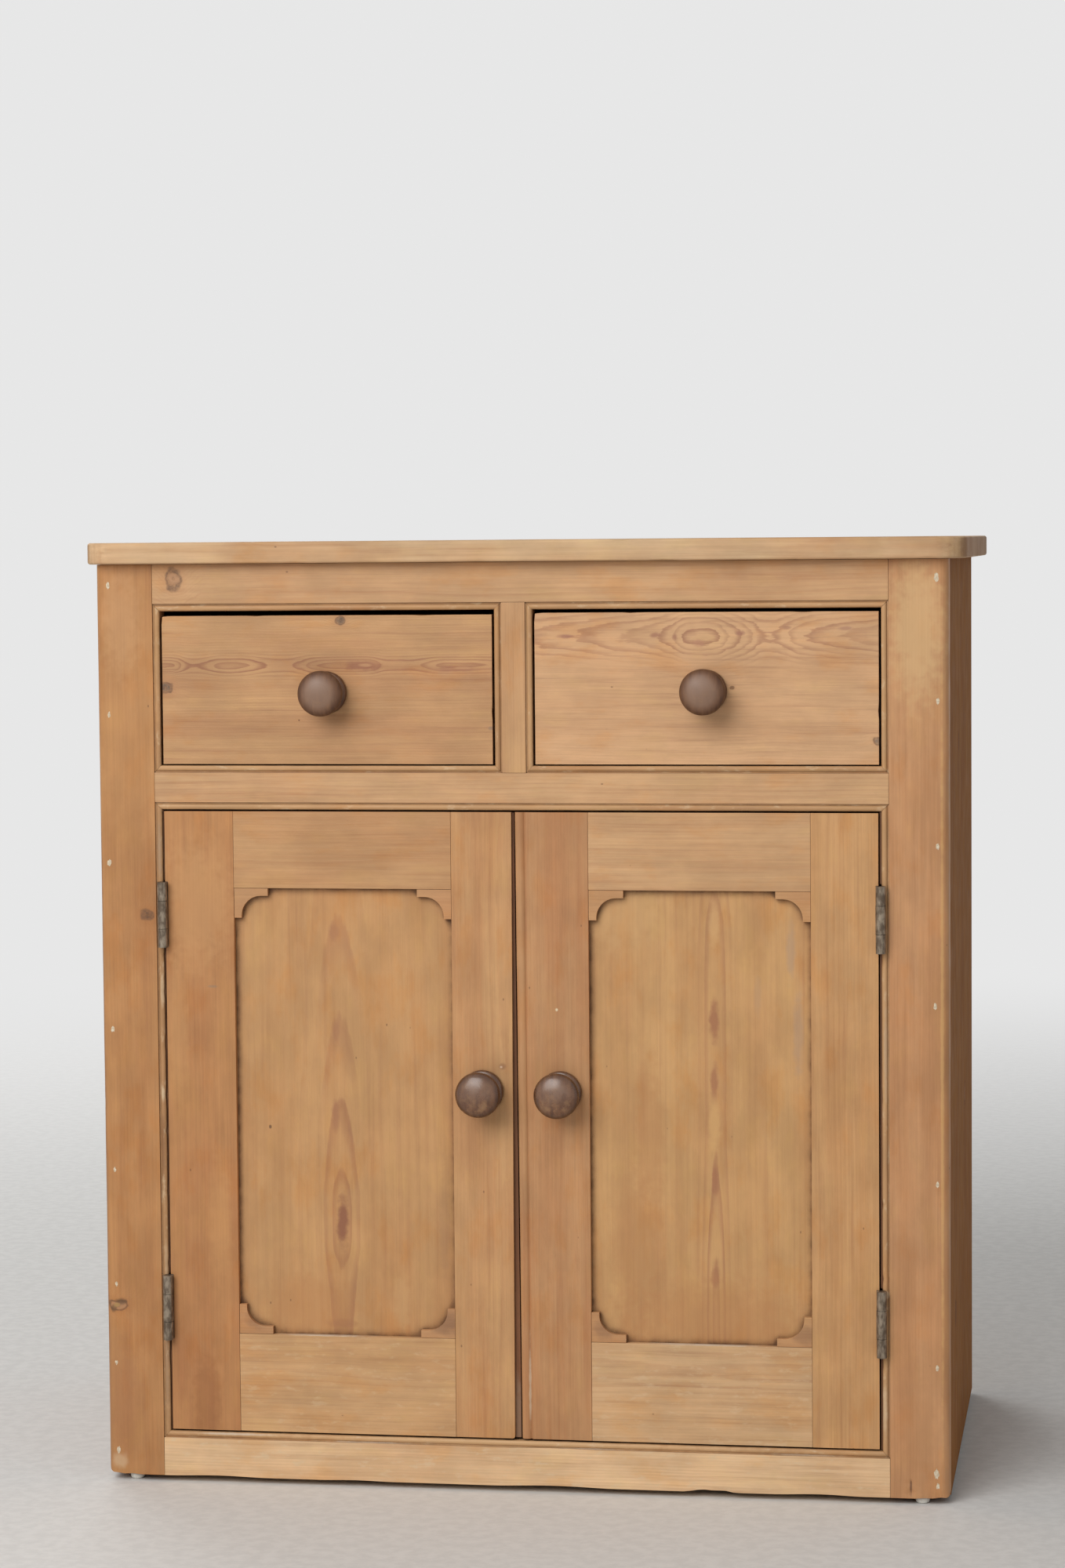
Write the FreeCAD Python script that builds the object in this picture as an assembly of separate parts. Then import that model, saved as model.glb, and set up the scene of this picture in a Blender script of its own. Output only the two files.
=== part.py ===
import FreeCAD, Part
import os
from FreeCAD import Vector

# Pine cupboard with two drawers over two framed and panelled doors.
# Millimetres. +Z is up, the front faces -Y, and the origin is under the middle
# of the cupboard, on the floor.

# ---------------------------------------------------------------- overall case
CASE_WIDTH = 965.0
CASE_HEIGHT = 1046.0
CASE_DEPTH = 565.0
SIDE_THICKNESS = 20.0
SEAT_GAP = 0.3             # running gap left between pieces that slide or bear
FIT_GAP = 0.05             # radial gap round pins, screws, nails and spigots
CLEAR = 1.0                # how far a cutting tool runs past what it cuts
MATCH = 0.01               # how closely an edge must lie at a place to be picked

# ------------------------------------------------------------------- top boards
TOP_THICKNESS = 24.5
TOP_OVERHANG_LEFT = 12.5
TOP_OVERHANG_RIGHT = 19.0
TOP_OVERHANG_FRONT = 16.0
TOP_CORNER_RADIUS = 37.0
TOP_EDGE_ROUND = 3.0
TOP_FRONT_BOARD_WIDTH = 296.0

# ---------------------------------------------------------------- floor glides
GLIDE_RADIUS = 8.0
GLIDE_HEIGHT = 7.0
GLIDE_ROUND = 2.0
GLIDE_PIN_RADIUS = 1.2
GLIDE_PIN_LENGTH = 16.0
GLIDE_INSET_SIDE = 31.0
GLIDE_INSET_FRONT = 13.0
GLIDE_INSET_BACK = 40.0

# ------------------------------------------------------------------ face frame
FRAME_THICKNESS = 23.0
STILE_WIDTH = 66.4
STILE_ARRIS = 11.0
RAIL_TOP_HEIGHT = 45.2
RAIL_MIDDLE_HEIGHT = 34.0
RAIL_BOTTOM_HEIGHT = 44.3
MUNTIN_WIDTH = 27.0
DRAWER_OPENING_HEIGHT = 175.0
LEFT_DRAWER_OPENING = 384.6
FRAME_TENON_LENGTH = 32.0
FRAME_TENON_THICKNESS = 9.0
FRAME_TENON_SHOULDER = 6.0

# Beads planted round the openings, mitred at their corners.
BEAD_WIDTH = 8.0
QUIRK_WIDTH = 1.7
BEAD_DROP = 2.4

# Cut nails through the stiles into the sides, as shares of the case's height.
NAIL_HEAD_RADIUS = 2.6
NAIL_HEAD_THICKNESS = 1.2
NAIL_RADIUS = 1.3
NAIL_LENGTH = 55.0
NAIL_SINK = 2.0
NAIL_INSET = 13.0
LEFT_NAIL_SHARES = (0.03, 0.125, 0.21, 0.338, 0.493, 0.677, 0.841, 0.983)
RIGHT_NAIL_SHARES = (0.027, 0.139, 0.335, 0.525, 0.695, 0.85, 0.982)

# --------------------------------------------------- boards behind the frame
BACK_THICKNESS = 12.0
BACK_REBATE = 10.0
BACK_BOARD_COUNT = 6
BACK_TONGUE = 5.0
BACK_TONGUE_THICKNESS = 4.0
FLOOR_THICKNESS = 18.0
FLOOR_HOUSING = 6.0
SHELF_THICKNESS = 18.0
SHELF_RISE = 345.0         # from the floor board to the underside of the shelf
SHELF_SETBACK = 45.0
CLEAT_HEIGHT = 32.0
CLEAT_THICKNESS = 18.0
BACK_RAIL_THICKNESS = 20.0
BACK_RAIL_TOP_HEIGHT = 60.0
BACK_RAIL_MIDDLE_HEIGHT = 44.0
RUNNER_HEIGHT = 24.0
RUNNER_BEARING = 9.0       # how far a runner reaches past a drawer's side
GUIDE_HEIGHT = 32.0
GUIDE_PLAY = 0.5
KICKER_HEIGHT = 24.0
STOP_STRIP_HEIGHT = 30.0
STOP_STRIP_THICKNESS = 15.0
STOP_STRIP_LAP = 12.0
DRAWER_STOP_HEIGHT = 26.0
DRAWER_STOP_WIDTH = 20.0
DRAWER_STOP_LENGTH = 50.0
CATCH_RADIUS = 4.5
CATCH_LENGTH = 13.0
CATCH_BALL_RADIUS = 2.8
CATCH_BALL_REACH = 1.3
CATCH_INSET = 45.0

# --------------------------------------------------------------------- drawers
FRONT_SETBACK = 1.0        # doors and drawer fronts lie this far behind the frame
DRAWER_FRONT_THICKNESS = 20.0
DRAWER_END_GAP = 2.5
DRAWER_BOTTOM_GAP = 1.5
LEFT_DRAWER_TOP_GAP = 5.6
RIGHT_DRAWER_TOP_GAP = 4.0
DRAWER_SIDE_THICKNESS = 12.0
DRAWER_SIDE_DROP = 5.0
DRAWER_BACK_DROP = 10.0
DRAWER_BACK_THICKNESS = 12.0
DRAWER_BACK_INSET = 10.0
DRAWER_BACK_HOUSING = 4.0
DRAWER_BOTTOM_THICKNESS = 8.0
DRAWER_BOTTOM_RISE = 9.0
DRAWER_GROOVE_DEPTH = 5.0
DRAWER_GROOVE_PLAY = 0.6
DOVETAIL_COUNT = 3
DOVETAIL_SHARE = 0.72      # of the pitch that a tail takes
DOVETAIL_LAP = 5.0         # wood left in front of the half-blind tails
DOVETAIL_FLARE = 3.0

# ----------------------------------------------------------------------- doors
DOOR_TOP_GAP = 2.0
DOOR_BOTTOM_GAP = 2.0
LEFT_HINGE_GAP = 2.4
RIGHT_HINGE_GAP = 3.6
LEFT_DOOR_WIDTH = 399.7
MEETING_GAP = 3.8          # at the doors' top
LEFT_MEETING_TAPER = 1.5   # planed off each meeting edge towards the bottom
RIGHT_MEETING_TAPER = 2.8
LEFT_HINGE_STILE_WIDTH = 79.9
LEFT_MEETING_STILE_WIDTH = 69.2
RIGHT_MEETING_STILE_WIDTH = 82.8
RIGHT_HINGE_STILE_WIDTH = 75.0
DOOR_TOP_RAIL_HEIGHT = 87.4
DOOR_BOTTOM_RAIL_HEIGHT = 112.7
DOOR_TENON_LENGTH = 48.0
DOOR_TENON_SHOULDER = 12.0
PANEL_RECESS = 8.0
PANEL_THICKNESS = 8.0
PANEL_GROOVE_DEPTH = 10.0
PANEL_PLAY = 0.8
MEETING_BEAD_WIDTH = 10.5
MEETING_BEAD_DROP = 2.2

# Small shaped brackets planted in the corners of each panel.
SPANDREL_REACH_RAIL = 39.5
SPANDREL_REACH_STILE = 34.0
SPANDREL_END = 9.0
SPANDREL_RADIUS = 22.0
SPANDREL_SETBACK = 0.6

# ---------------------------------------------------------------------- hinges
HINGE_HEIGHT = 74.5
HINGE_MIDDLE_KNUCKLE = 31.5
HINGE_LEAF_THICKNESS = 3.0
HINGE_LEAF_DEPTH = 18.0
KNUCKLE_RADIUS = 5.75
PIN_RADIUS = 2.4
PIN_AXIS_REACH = 6.1       # pin axis in front of the frame's face
PIN_AXIS_INSET = 0.6       # and inside the opening's edge
TOP_HINGE_DROP = 80.5      # from the door's top to the hinge's top
BOTTOM_HINGE_RISE = 105.0  # from the door's bottom to the hinge's bottom
SCREW_RADIUS = 2.0
SCREW_HEAD_RADIUS = 4.0
SCREW_HEAD_DEPTH = 2.0
SCREW_LENGTH = 19.0
SCREW_SPACING = 24.0
SCREW_STAGGER = 4.0

# ----------------------------------------------------------------------- knobs
KNOB_RADIUS = 25.8
KNOB_REACH = 45.0
KNOB_DOME = 10.0           # how far the face swells from its rim
KNOB_RIM = 3.6
KNOB_RIM_ROUND = 1.2
KNOB_ROSE_RADIUS = 24.2
KNOB_ROSE_THICKNESS = 8.0
KNOB_ROSE_ROUND = 2.0
KNOB_ROSE_STEP = 18.6      # radius where the rose meets the neck
KNOB_NECK_RADIUS = 13.0
KNOB_NECK_REACH = 19.0     # from the wood to the neck's waist
KNOB_NECK_HOLLOW = 1.4
KNOB_HEAD_HOLLOW = 2.2
KNOB_SPIGOT_RADIUS = 6.0
KNOB_SPIGOT_LENGTH = 17.0
DOOR_KNOB_RISE = 396.4     # above the door's bottom
DRAWER_KNOB_DROP = 3.0     # below the middle of the drawer's front
LEFT_KNOB_INSET = 35.0     # from the meeting edge
RIGHT_KNOB_INSET = 50.0

# ------------------------------------------------ places worked out from sizes
knob_front = KNOB_REACH - FRONT_SETBACK
face_y = (knob_front - CASE_DEPTH) / 2
frame_back_y = face_y + FRAME_THICKNESS
back_y = face_y + CASE_DEPTH
back_inner_y = back_y - BACK_THICKNESS
back_rail_y = back_inner_y - BACK_RAIL_THICKNESS
front_face_y = face_y + FRONT_SETBACK
door_thickness = FRAME_THICKNESS - FRONT_SETBACK - SEAT_GAP
door_back_y = front_face_y + door_thickness

top_right_x = (TOP_OVERHANG_LEFT + CASE_WIDTH + TOP_OVERHANG_RIGHT) / 2
top_left_x = -top_right_x
left_x = top_left_x + TOP_OVERHANG_LEFT
right_x = top_right_x - TOP_OVERHANG_RIGHT
middle_x = (left_x + right_x) / 2
side_inner_left = left_x + SIDE_THICKNESS
side_inner_right = right_x - SIDE_THICKNESS
frame_left = left_x + STILE_WIDTH
frame_right = right_x - STILE_WIDTH
opening_left = frame_left + BEAD_WIDTH
opening_right = frame_right - BEAD_WIDTH
muntin_left = opening_left + LEFT_DRAWER_OPENING + BEAD_WIDTH
muntin_right = muntin_left + MUNTIN_WIDTH

case_bottom = GLIDE_HEIGHT
case_top = case_bottom + CASE_HEIGHT
rail_top_bottom = case_top - RAIL_TOP_HEIGHT
drawer_opening_top = rail_top_bottom - BEAD_WIDTH
drawer_opening_bottom = drawer_opening_top - DRAWER_OPENING_HEIGHT
rail_middle_top = drawer_opening_bottom - BEAD_WIDTH
rail_middle_bottom = rail_middle_top - RAIL_MIDDLE_HEIGHT
door_opening_top = rail_middle_bottom - BEAD_WIDTH
rail_bottom_top = case_bottom + RAIL_BOTTOM_HEIGHT
door_opening_bottom = rail_bottom_top + BEAD_WIDTH
door_top = door_opening_top - DOOR_TOP_GAP
door_bottom = door_opening_bottom + DOOR_BOTTOM_GAP

floor_top = door_opening_bottom
shelf_bottom = floor_top + SHELF_RISE
shelf_top = shelf_bottom + SHELF_THICKNESS
drawer_bottom = drawer_opening_bottom + DRAWER_BOTTOM_GAP
runner_top = drawer_bottom - SEAT_GAP
drawer_back_y = back_rail_y - DRAWER_STOP_LENGTH - SEAT_GAP

hinge_centres = (door_top - TOP_HINGE_DROP - HINGE_HEIGHT / 2,
                 door_bottom + BOTTOM_HINGE_RISE + HINGE_HEIGHT / 2)
panel_front_y = front_face_y + PANEL_RECESS
panel_back_y = panel_front_y + PANEL_THICKNESS

X_AXIS = Vector(1, 0, 0)
Y_AXIS = Vector(0, 1, 0)
Z_AXIS = Vector(0, 0, 1)
ORIGIN = Vector(0, 0, 0)


# --------------------------------------------------------------- shape helpers
def block(x0, x1, y0, y1, z0, z1):
    """A box between two corners."""
    return Part.makeBox(x1 - x0, y1 - y0, z1 - z0, Vector(x0, y0, z0))


def rod(radius, start, end):
    """A round bar from one point to another."""
    run = end - start
    return Part.makeCylinder(radius, run.Length, start, run)


def prism(points, depth):
    """A closed outline pushed along a vector; the outline's points lie in one plane."""
    return Part.Face(Part.makePolygon(points + points[:1])).extrude(depth)


def union(shapes):
    """The shapes joined into one solid."""
    joined = shapes[0].fuse(list(shapes[1:])).removeSplitter()
    return joined.Solids[0] if len(joined.Solids) == 1 else joined


def cut(shape, tools):
    """The shape less each of the tools."""
    left = shape.cut(list(tools))
    return left.Solids[0] if len(left.Solids) == 1 else left


def round_edges(shape, radius, wanted):
    """The shape with the edges that a test picks rounded."""
    edges = [edge for edge in shape.Edges if wanted(edge)]
    return shape.makeFillet(radius, edges)


def edge_at(edge, **place):
    """Whether an edge lies wholly at the given x, y or z."""
    box = edge.BoundBox
    spans = {"x": (box.XMin, box.XMax), "y": (box.YMin, box.YMax), "z": (box.ZMin, box.ZMax)}
    return all(abs(end - value) < MATCH for axis, value in place.items() for end in spans[axis])


def mirrored(shape, x):
    """The shape mirrored in the upright plane at x."""
    return shape.mirror(Vector(x, 0, 0), X_AXIS)


def save(name, shape):
    """One STEP file for one node; a list of solids is written as a group."""
    if isinstance(shape, list):
        shape = Part.makeCompound(shape)
    shape.exportStep("parts/%s.step" % name)


# ---------------------------------------------------------------- fasteners
def screw(point, direction, gap=0.0):
    """A countersunk wood screw with its head's face at the point; gap makes its hole."""
    head = Part.makeCone(SCREW_HEAD_RADIUS + gap, SCREW_RADIUS + gap, SCREW_HEAD_DEPTH, point, direction)
    shank = Part.makeCylinder(SCREW_RADIUS + gap, SCREW_LENGTH + gap, point, direction)
    return union([head, shank])


def nail(x, z, gap=0.0):
    """A nail driven in from the frame's face, its head sunk below the surface."""
    head_y = face_y + NAIL_SINK
    head_start = head_y - (NAIL_SINK if gap else 0.0)
    head = rod(NAIL_HEAD_RADIUS + gap, Vector(x, head_start, z),
               Vector(x, head_y + NAIL_HEAD_THICKNESS + gap, z))
    shank = rod(NAIL_RADIUS + gap, Vector(x, head_start, z), Vector(x, head_y + NAIL_LENGTH + gap, z))
    return union([head, shank])


def frame_nails(gap=0.0):
    """Every nail in both stiles, or with a gap, their holes."""
    left = [nail(left_x + NAIL_INSET, case_bottom + share * CASE_HEIGHT, gap)
            for share in LEFT_NAIL_SHARES]
    right = [nail(right_x - NAIL_INSET, case_bottom + share * CASE_HEIGHT, gap)
             for share in RIGHT_NAIL_SHARES]
    return left + right


def glide(x, y, gap=0.0):
    """A plastic floor glide and its pin, standing under the case's bottom."""
    foot = Part.makeCylinder(GLIDE_RADIUS, GLIDE_HEIGHT, Vector(x, y, 0), Z_AXIS)
    foot = round_edges(foot, GLIDE_ROUND, lambda edge: edge_at(edge, z=0))
    pin = Part.makeCylinder(GLIDE_PIN_RADIUS + gap, GLIDE_HEIGHT + GLIDE_PIN_LENGTH + gap,
                            Vector(x, y, 0), Z_AXIS)
    return union([foot, pin])


def floor_glides(gap=0.0):
    """Four glides, two under the stiles and two under the sides."""
    front_y = face_y + GLIDE_INSET_FRONT
    rear_y = back_y - GLIDE_INSET_BACK
    half_side = SIDE_THICKNESS / 2
    return [glide(left_x + GLIDE_INSET_SIDE, front_y, gap),
            glide(right_x - GLIDE_INSET_SIDE, front_y, gap),
            glide(left_x + half_side, rear_y, gap),
            glide(right_x - half_side, rear_y, gap)]


# -------------------------------------------------------------------- hinges
def hinge_at(edge_x, side, z, build):
    """A hinge piece built for a left-hand edge at x = 0, put at its real edge."""
    piece = build(LEFT_HINGE_GAP if side == "left" else RIGHT_HINGE_GAP)
    if side == "right":
        piece = mirrored(piece, 0)
    piece.translate(Vector(edge_x, face_y, z))
    return piece


def knuckles(spans):
    """Round knuckles on the pin axis over the given height spans."""
    return [Part.makeCylinder(KNUCKLE_RADIUS, top - low, Vector(PIN_AXIS_INSET, -PIN_AXIS_REACH, low))
            for low, top in spans]


def leaf(x, spans, screw_direction):
    """A leaf with the webs, knuckles and screw holes that belong to it."""
    half = HINGE_HEIGHT / 2
    plate = block(x, x + HINGE_LEAF_THICKNESS, 0, HINGE_LEAF_DEPTH, -half, half)
    webs = [block(x, x + HINGE_LEAF_THICKNESS, -PIN_AXIS_REACH, 0, low, top) for low, top in spans]
    body = union([plate] + webs + knuckles(spans))
    bore = Part.makeCylinder(PIN_RADIUS + FIT_GAP, HINGE_HEIGHT + 2 * CLEAR,
                             Vector(PIN_AXIS_INSET, -PIN_AXIS_REACH, -half - CLEAR))
    holes = [screw(point, screw_direction, FIT_GAP) for point in screw_points(x, screw_direction)]
    return cut(body, [bore] + holes)


def screw_points(x, direction):
    """Where the screw heads of one leaf lie, staggered in depth."""
    head_x = x if direction.x > 0 else x + HINGE_LEAF_THICKNESS
    middle_y = HINGE_LEAF_DEPTH / 2
    return [Vector(head_x, middle_y + stagger * SCREW_STAGGER / 2, step * SCREW_SPACING)
            for step, stagger in ((-1, 1), (0, -1), (1, 1))]


def outer_spans():
    """Heights of the two outer knuckles, which belong to the case's leaf."""
    half = HINGE_HEIGHT / 2
    middle = HINGE_MIDDLE_KNUCKLE / 2
    return [(-half, -middle - SEAT_GAP), (middle + SEAT_GAP, half)]


def middle_spans():
    """Height of the long middle knuckle, which belongs to the door's leaf."""
    return [(-HINGE_MIDDLE_KNUCKLE / 2, HINGE_MIDDLE_KNUCKLE / 2)]


def case_leaf(gap):
    """The leaf let into the bead at the edge of the opening."""
    return leaf(-HINGE_LEAF_THICKNESS, outer_spans(), -X_AXIS)


def door_leaf(gap):
    """The leaf let into the edge of the door."""
    return leaf(gap, middle_spans(), X_AXIS)


def hinge_pin(gap):
    """The pin through all three knuckles."""
    half = HINGE_HEIGHT / 2
    return Part.makeCylinder(PIN_RADIUS, HINGE_HEIGHT, Vector(PIN_AXIS_INSET, -PIN_AXIS_REACH, -half))


def case_screws(gap):
    """Three screws through the case's leaf."""
    points = screw_points(-HINGE_LEAF_THICKNESS, -X_AXIS)
    return Part.makeCompound([screw(point, -X_AXIS) for point in points])


def door_screws(gap):
    """Three screws through the door's leaf."""
    return Part.makeCompound([screw(point, X_AXIS) for point in screw_points(gap, X_AXIS)])


def case_hinge_recess(gap):
    """What a hinge takes out of the frame: the leaf's seat and its screws."""
    half = HINGE_HEIGHT / 2
    seat = block(-HINGE_LEAF_THICKNESS, 0, 0, HINGE_LEAF_DEPTH, -half, half)
    holes = [screw(point, -X_AXIS, FIT_GAP) for point in screw_points(-HINGE_LEAF_THICKNESS, -X_AXIS)]
    return Part.makeCompound([seat] + holes)


def door_hinge_recess(gap):
    """What a hinge takes out of the door's edge."""
    half = HINGE_HEIGHT / 2
    seat = block(gap, gap + HINGE_LEAF_THICKNESS, 0, HINGE_LEAF_DEPTH, -half, half)
    holes = [screw(point, X_AXIS, FIT_GAP) for point in screw_points(gap, X_AXIS)]
    return Part.makeCompound([seat] + holes)


def hinge_pieces(side, build):
    """One hinge piece at each of a door's two hinges."""
    edge_x = opening_left if side == "left" else opening_right
    return [hinge_at(edge_x, side, z, build) for z in hinge_centres]


def solids(shapes):
    """All the solids of a list of shapes."""
    return [solid for shape in shapes for solid in shape.Solids]


# ------------------------------------------------------------------- knobs
def bowed(start, end, bow):
    """An arc between two points of a turned section, swelling outwards by the bow."""
    run = end - start
    outwards = Vector(run.z, 0, -run.x).normalize()
    return Part.Arc(start, (start + end) / 2 + outwards * bow, end)


def knob_profile():
    """Half the knob's section: a round-edged rose, a waisted neck and a domed head."""
    rose_edge = KNOB_ROSE_RADIUS - KNOB_ROSE_ROUND
    rose_back = Vector(rose_edge, 0, 0)
    rose_front = Vector(rose_edge, 0, KNOB_ROSE_THICKNESS)
    rose_step = Vector(KNOB_ROSE_STEP, 0, KNOB_ROSE_THICKNESS)
    waist = Vector(KNOB_NECK_RADIUS, 0, KNOB_NECK_REACH)
    rim_front = Vector(KNOB_RADIUS - KNOB_RIM_ROUND, 0, KNOB_REACH - KNOB_DOME)
    rim_back = rim_front - Vector(0, 0, KNOB_RIM)
    dome_radius = (rim_front.x ** 2 + KNOB_DOME ** 2) / (2 * KNOB_DOME)
    dome_x = rim_front.x / 2
    dome_z = KNOB_REACH - dome_radius + (dome_radius ** 2 - dome_x ** 2) ** 0.5
    crown = Vector(0, 0, KNOB_REACH)
    return [
        Part.LineSegment(ORIGIN, rose_back),
        bowed(rose_back, rose_front, KNOB_ROSE_ROUND),
        Part.LineSegment(rose_front, rose_step),
        bowed(rose_step, waist, -KNOB_NECK_HOLLOW),
        bowed(waist, rim_back, -KNOB_HEAD_HOLLOW),
        bowed(rim_back, rim_front, KNOB_RIM_ROUND),
        Part.Arc(rim_front, Vector(dome_x, 0, dome_z), crown),
        Part.LineSegment(crown, ORIGIN)]


def knob(x, z, gap=0.0):
    """A turned knob on the face at x, z; with a gap, only its spigot's hole."""
    spigot = rod(KNOB_SPIGOT_RADIUS + gap, Vector(x, front_face_y, z),
                 Vector(x, front_face_y + KNOB_SPIGOT_LENGTH + gap, z))
    if gap:
        return spigot
    head = Part.Face(Part.Wire([edge.toShape() for edge in knob_profile()])).revolve(ORIGIN, Z_AXIS, 360)
    head.rotate(ORIGIN, X_AXIS, 90)
    head.translate(Vector(x, front_face_y, z))
    return union([head, spigot])


# -------------------------------------------------------------- top and sides
def top_slab():
    """The whole top, rounded at its two front corners, before it is cut in two boards."""
    front_y = face_y - TOP_OVERHANG_FRONT
    slab = block(top_left_x, top_right_x, front_y, back_y, case_top, case_top + TOP_THICKNESS)
    slab = round_edges(slab, TOP_CORNER_RADIUS,
                       lambda edge: edge_at(edge, y=front_y) and edge.BoundBox.ZLength > MATCH)
    return round_edges(slab, TOP_EDGE_ROUND,
                       lambda edge: edge.BoundBox.ZLength < MATCH and not edge_at(edge, y=back_y))


def top_boards():
    """Two boards edge to edge."""
    slab = top_slab()
    front_y = face_y - TOP_OVERHANG_FRONT
    front_half = block(top_left_x - CLEAR, top_right_x + CLEAR, front_y - CLEAR,
                       front_y + TOP_FRONT_BOARD_WIDTH, case_top - CLEAR, case_top + TOP_THICKNESS + CLEAR)
    return [slab.common(front_half).Solids[0], slab.cut(front_half).Solids[0]]


def side_board(side):
    """A side, rebated for the back boards and housed for the floor board."""
    board = block(left_x, side_inner_left, frame_back_y, back_y, case_bottom, case_top)
    rebate = block(side_inner_left - BACK_REBATE, side_inner_left, back_inner_y, back_y,
                   case_bottom, case_top)
    housing = block(side_inner_left - FLOOR_HOUSING, side_inner_left, frame_back_y, back_inner_y,
                    floor_top - FLOOR_THICKNESS, floor_top)
    board = cut(board, [rebate, housing])
    if side == "right":
        board = mirrored(board, middle_x)
    return cut(board, frame_nails(FIT_GAP) + floor_glides(FIT_GAP))


# ------------------------------------------------------------------ face frame
def frame_tenon(x0, x1, z0, z1):
    """The part of a rail or muntin that enters its mortise."""
    middle = (face_y + frame_back_y) / 2
    half = FRAME_TENON_THICKNESS / 2
    return block(x0, x1, middle - half, middle + half, z0, z1)


def rail_tenons(z0, z1):
    """Both tenons of a rail that spans z0 to z1."""
    low, high = z0 + FRAME_TENON_SHOULDER, z1 - FRAME_TENON_SHOULDER
    return [frame_tenon(frame_left - FRAME_TENON_LENGTH, frame_left, low, high),
            frame_tenon(frame_right, frame_right + FRAME_TENON_LENGTH, low, high)]


def muntin_tenons():
    """The muntin's tenons, into the rails above and below it."""
    low, high = muntin_left + FRAME_TENON_SHOULDER, muntin_right - FRAME_TENON_SHOULDER
    depth = min(FRAME_TENON_LENGTH, RAIL_MIDDLE_HEIGHT / 2, RAIL_TOP_HEIGHT / 2)
    return [frame_tenon(low, high, rail_middle_top - depth, rail_middle_top),
            frame_tenon(low, high, rail_top_bottom, rail_top_bottom + depth)]


def rail(z0, z1, cuts=()):
    """A rail between the stiles, with its tenons."""
    body = union([block(frame_left, frame_right, face_y, frame_back_y, z0, z1)] + rail_tenons(z0, z1))
    return cut(body, cuts) if cuts else body


def muntin():
    """The short upright between the drawers."""
    body = block(muntin_left, muntin_right, face_y, frame_back_y, rail_middle_top, rail_top_bottom)
    return union([body] + muntin_tenons())


def stile(side):
    """A full-height stile with a rounded outer arris, mortised for the rails."""
    body = block(left_x, frame_left, face_y, frame_back_y, case_bottom, case_top)
    body = round_edges(body, STILE_ARRIS, lambda edge: edge_at(edge, x=left_x, y=face_y))
    if side == "right":
        body = mirrored(body, middle_x)
    tools = frame_nails(FIT_GAP) + floor_glides(FIT_GAP) + hinge_pieces(side, case_hinge_recess)
    for low, high in ((case_bottom, rail_bottom_top), (rail_middle_bottom, rail_middle_top),
                      (rail_top_bottom, case_top)):
        tools += rail_tenons(low, high)
    return cut(body, tools)


def bead_strip(length):
    """One mitred strip: it lies along +X, its outer edge at z = 0, its face at y = 0."""
    round_middle = Vector(0, 0, (QUIRK_WIDTH + BEAD_WIDTH) / 2)
    quirk_in = Vector(0, BEAD_DROP, QUIRK_WIDTH)
    lip = Vector(0, BEAD_DROP, BEAD_WIDTH)
    back = [Vector(0, FRAME_THICKNESS, BEAD_WIDTH), Vector(0, FRAME_THICKNESS, 0), Vector(0, BEAD_DROP, 0)]
    edges = [Part.Arc(quirk_in, round_middle, lip).toShape()]
    corners = [lip] + back + [quirk_in]
    edges += [Part.LineSegment(a, b).toShape() for a, b in zip(corners, corners[1:])]
    strip = Part.Face(Part.Wire(edges)).extrude(Vector(length, 0, 0))
    outline = [Vector(0, -CLEAR, 0), Vector(length, -CLEAR, 0),
               Vector(length - BEAD_WIDTH, -CLEAR, BEAD_WIDTH), Vector(BEAD_WIDTH, -CLEAR, BEAD_WIDTH)]
    mitre = prism(outline, Vector(0, FRAME_THICKNESS + 2 * CLEAR, 0))
    return strip.common(mitre).Solids[0]


def bead_ring(x0, x1, z0, z1):
    """Four strips round an opening; the limits are the frame's edges."""
    ring = []
    corners = ((x0, z0, x1 - x0), (x1, z0, z1 - z0), (x1, z1, x1 - x0), (x0, z1, z1 - z0))
    for turn, (x, z, length) in enumerate(corners):
        strip = bead_strip(length)
        strip.rotate(ORIGIN, Y_AXIS, -90 * turn)
        strip.translate(Vector(x, face_y, z))
        ring.append(strip)
    return ring


def door_beads():
    """The ring round the doors, with seats for the hinges and bores for the catches."""
    tools = (hinge_pieces("left", case_hinge_recess) + hinge_pieces("right", case_hinge_recess)
             + catches(FIT_GAP))
    return [cut(strip, tools) for strip in
            bead_ring(frame_left, frame_right, rail_bottom_top, rail_middle_bottom)]


# ------------------------------------------------------- boards behind the frame
def back_boards():
    """Upright boards, tongued into each other, in the sides' rebates."""
    x0 = side_inner_left - BACK_REBATE
    width = (side_inner_right + BACK_REBATE - x0) / BACK_BOARD_COUNT
    middle = (back_inner_y + back_y) / 2
    half = BACK_TONGUE_THICKNESS / 2
    boards = []
    for number in range(BACK_BOARD_COUNT):
        start = x0 + number * width
        board = block(start, start + width, back_inner_y, back_y, case_bottom, case_top)
        if number:
            board = cut(board, [block(start, start + BACK_TONGUE, middle - half, middle + half,
                                      case_bottom, case_top)])
        if number < BACK_BOARD_COUNT - 1:
            tongue = block(start + width, start + width + BACK_TONGUE, middle - half, middle + half,
                           case_bottom, case_top)
            board = union([board, tongue])
        boards.append(board)
    return boards


def floor_board():
    """The cupboard's floor, housed in the sides and level with the opening."""
    return block(side_inner_left - FLOOR_HOUSING, side_inner_right + FLOOR_HOUSING,
                 frame_back_y, back_inner_y, floor_top - FLOOR_THICKNESS, floor_top)


def shelf():
    """The loose shelf on its cleats."""
    return block(side_inner_left + SEAT_GAP, side_inner_right - SEAT_GAP, frame_back_y + SHELF_SETBACK,
                 back_inner_y - SEAT_GAP, shelf_bottom, shelf_top)


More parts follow.
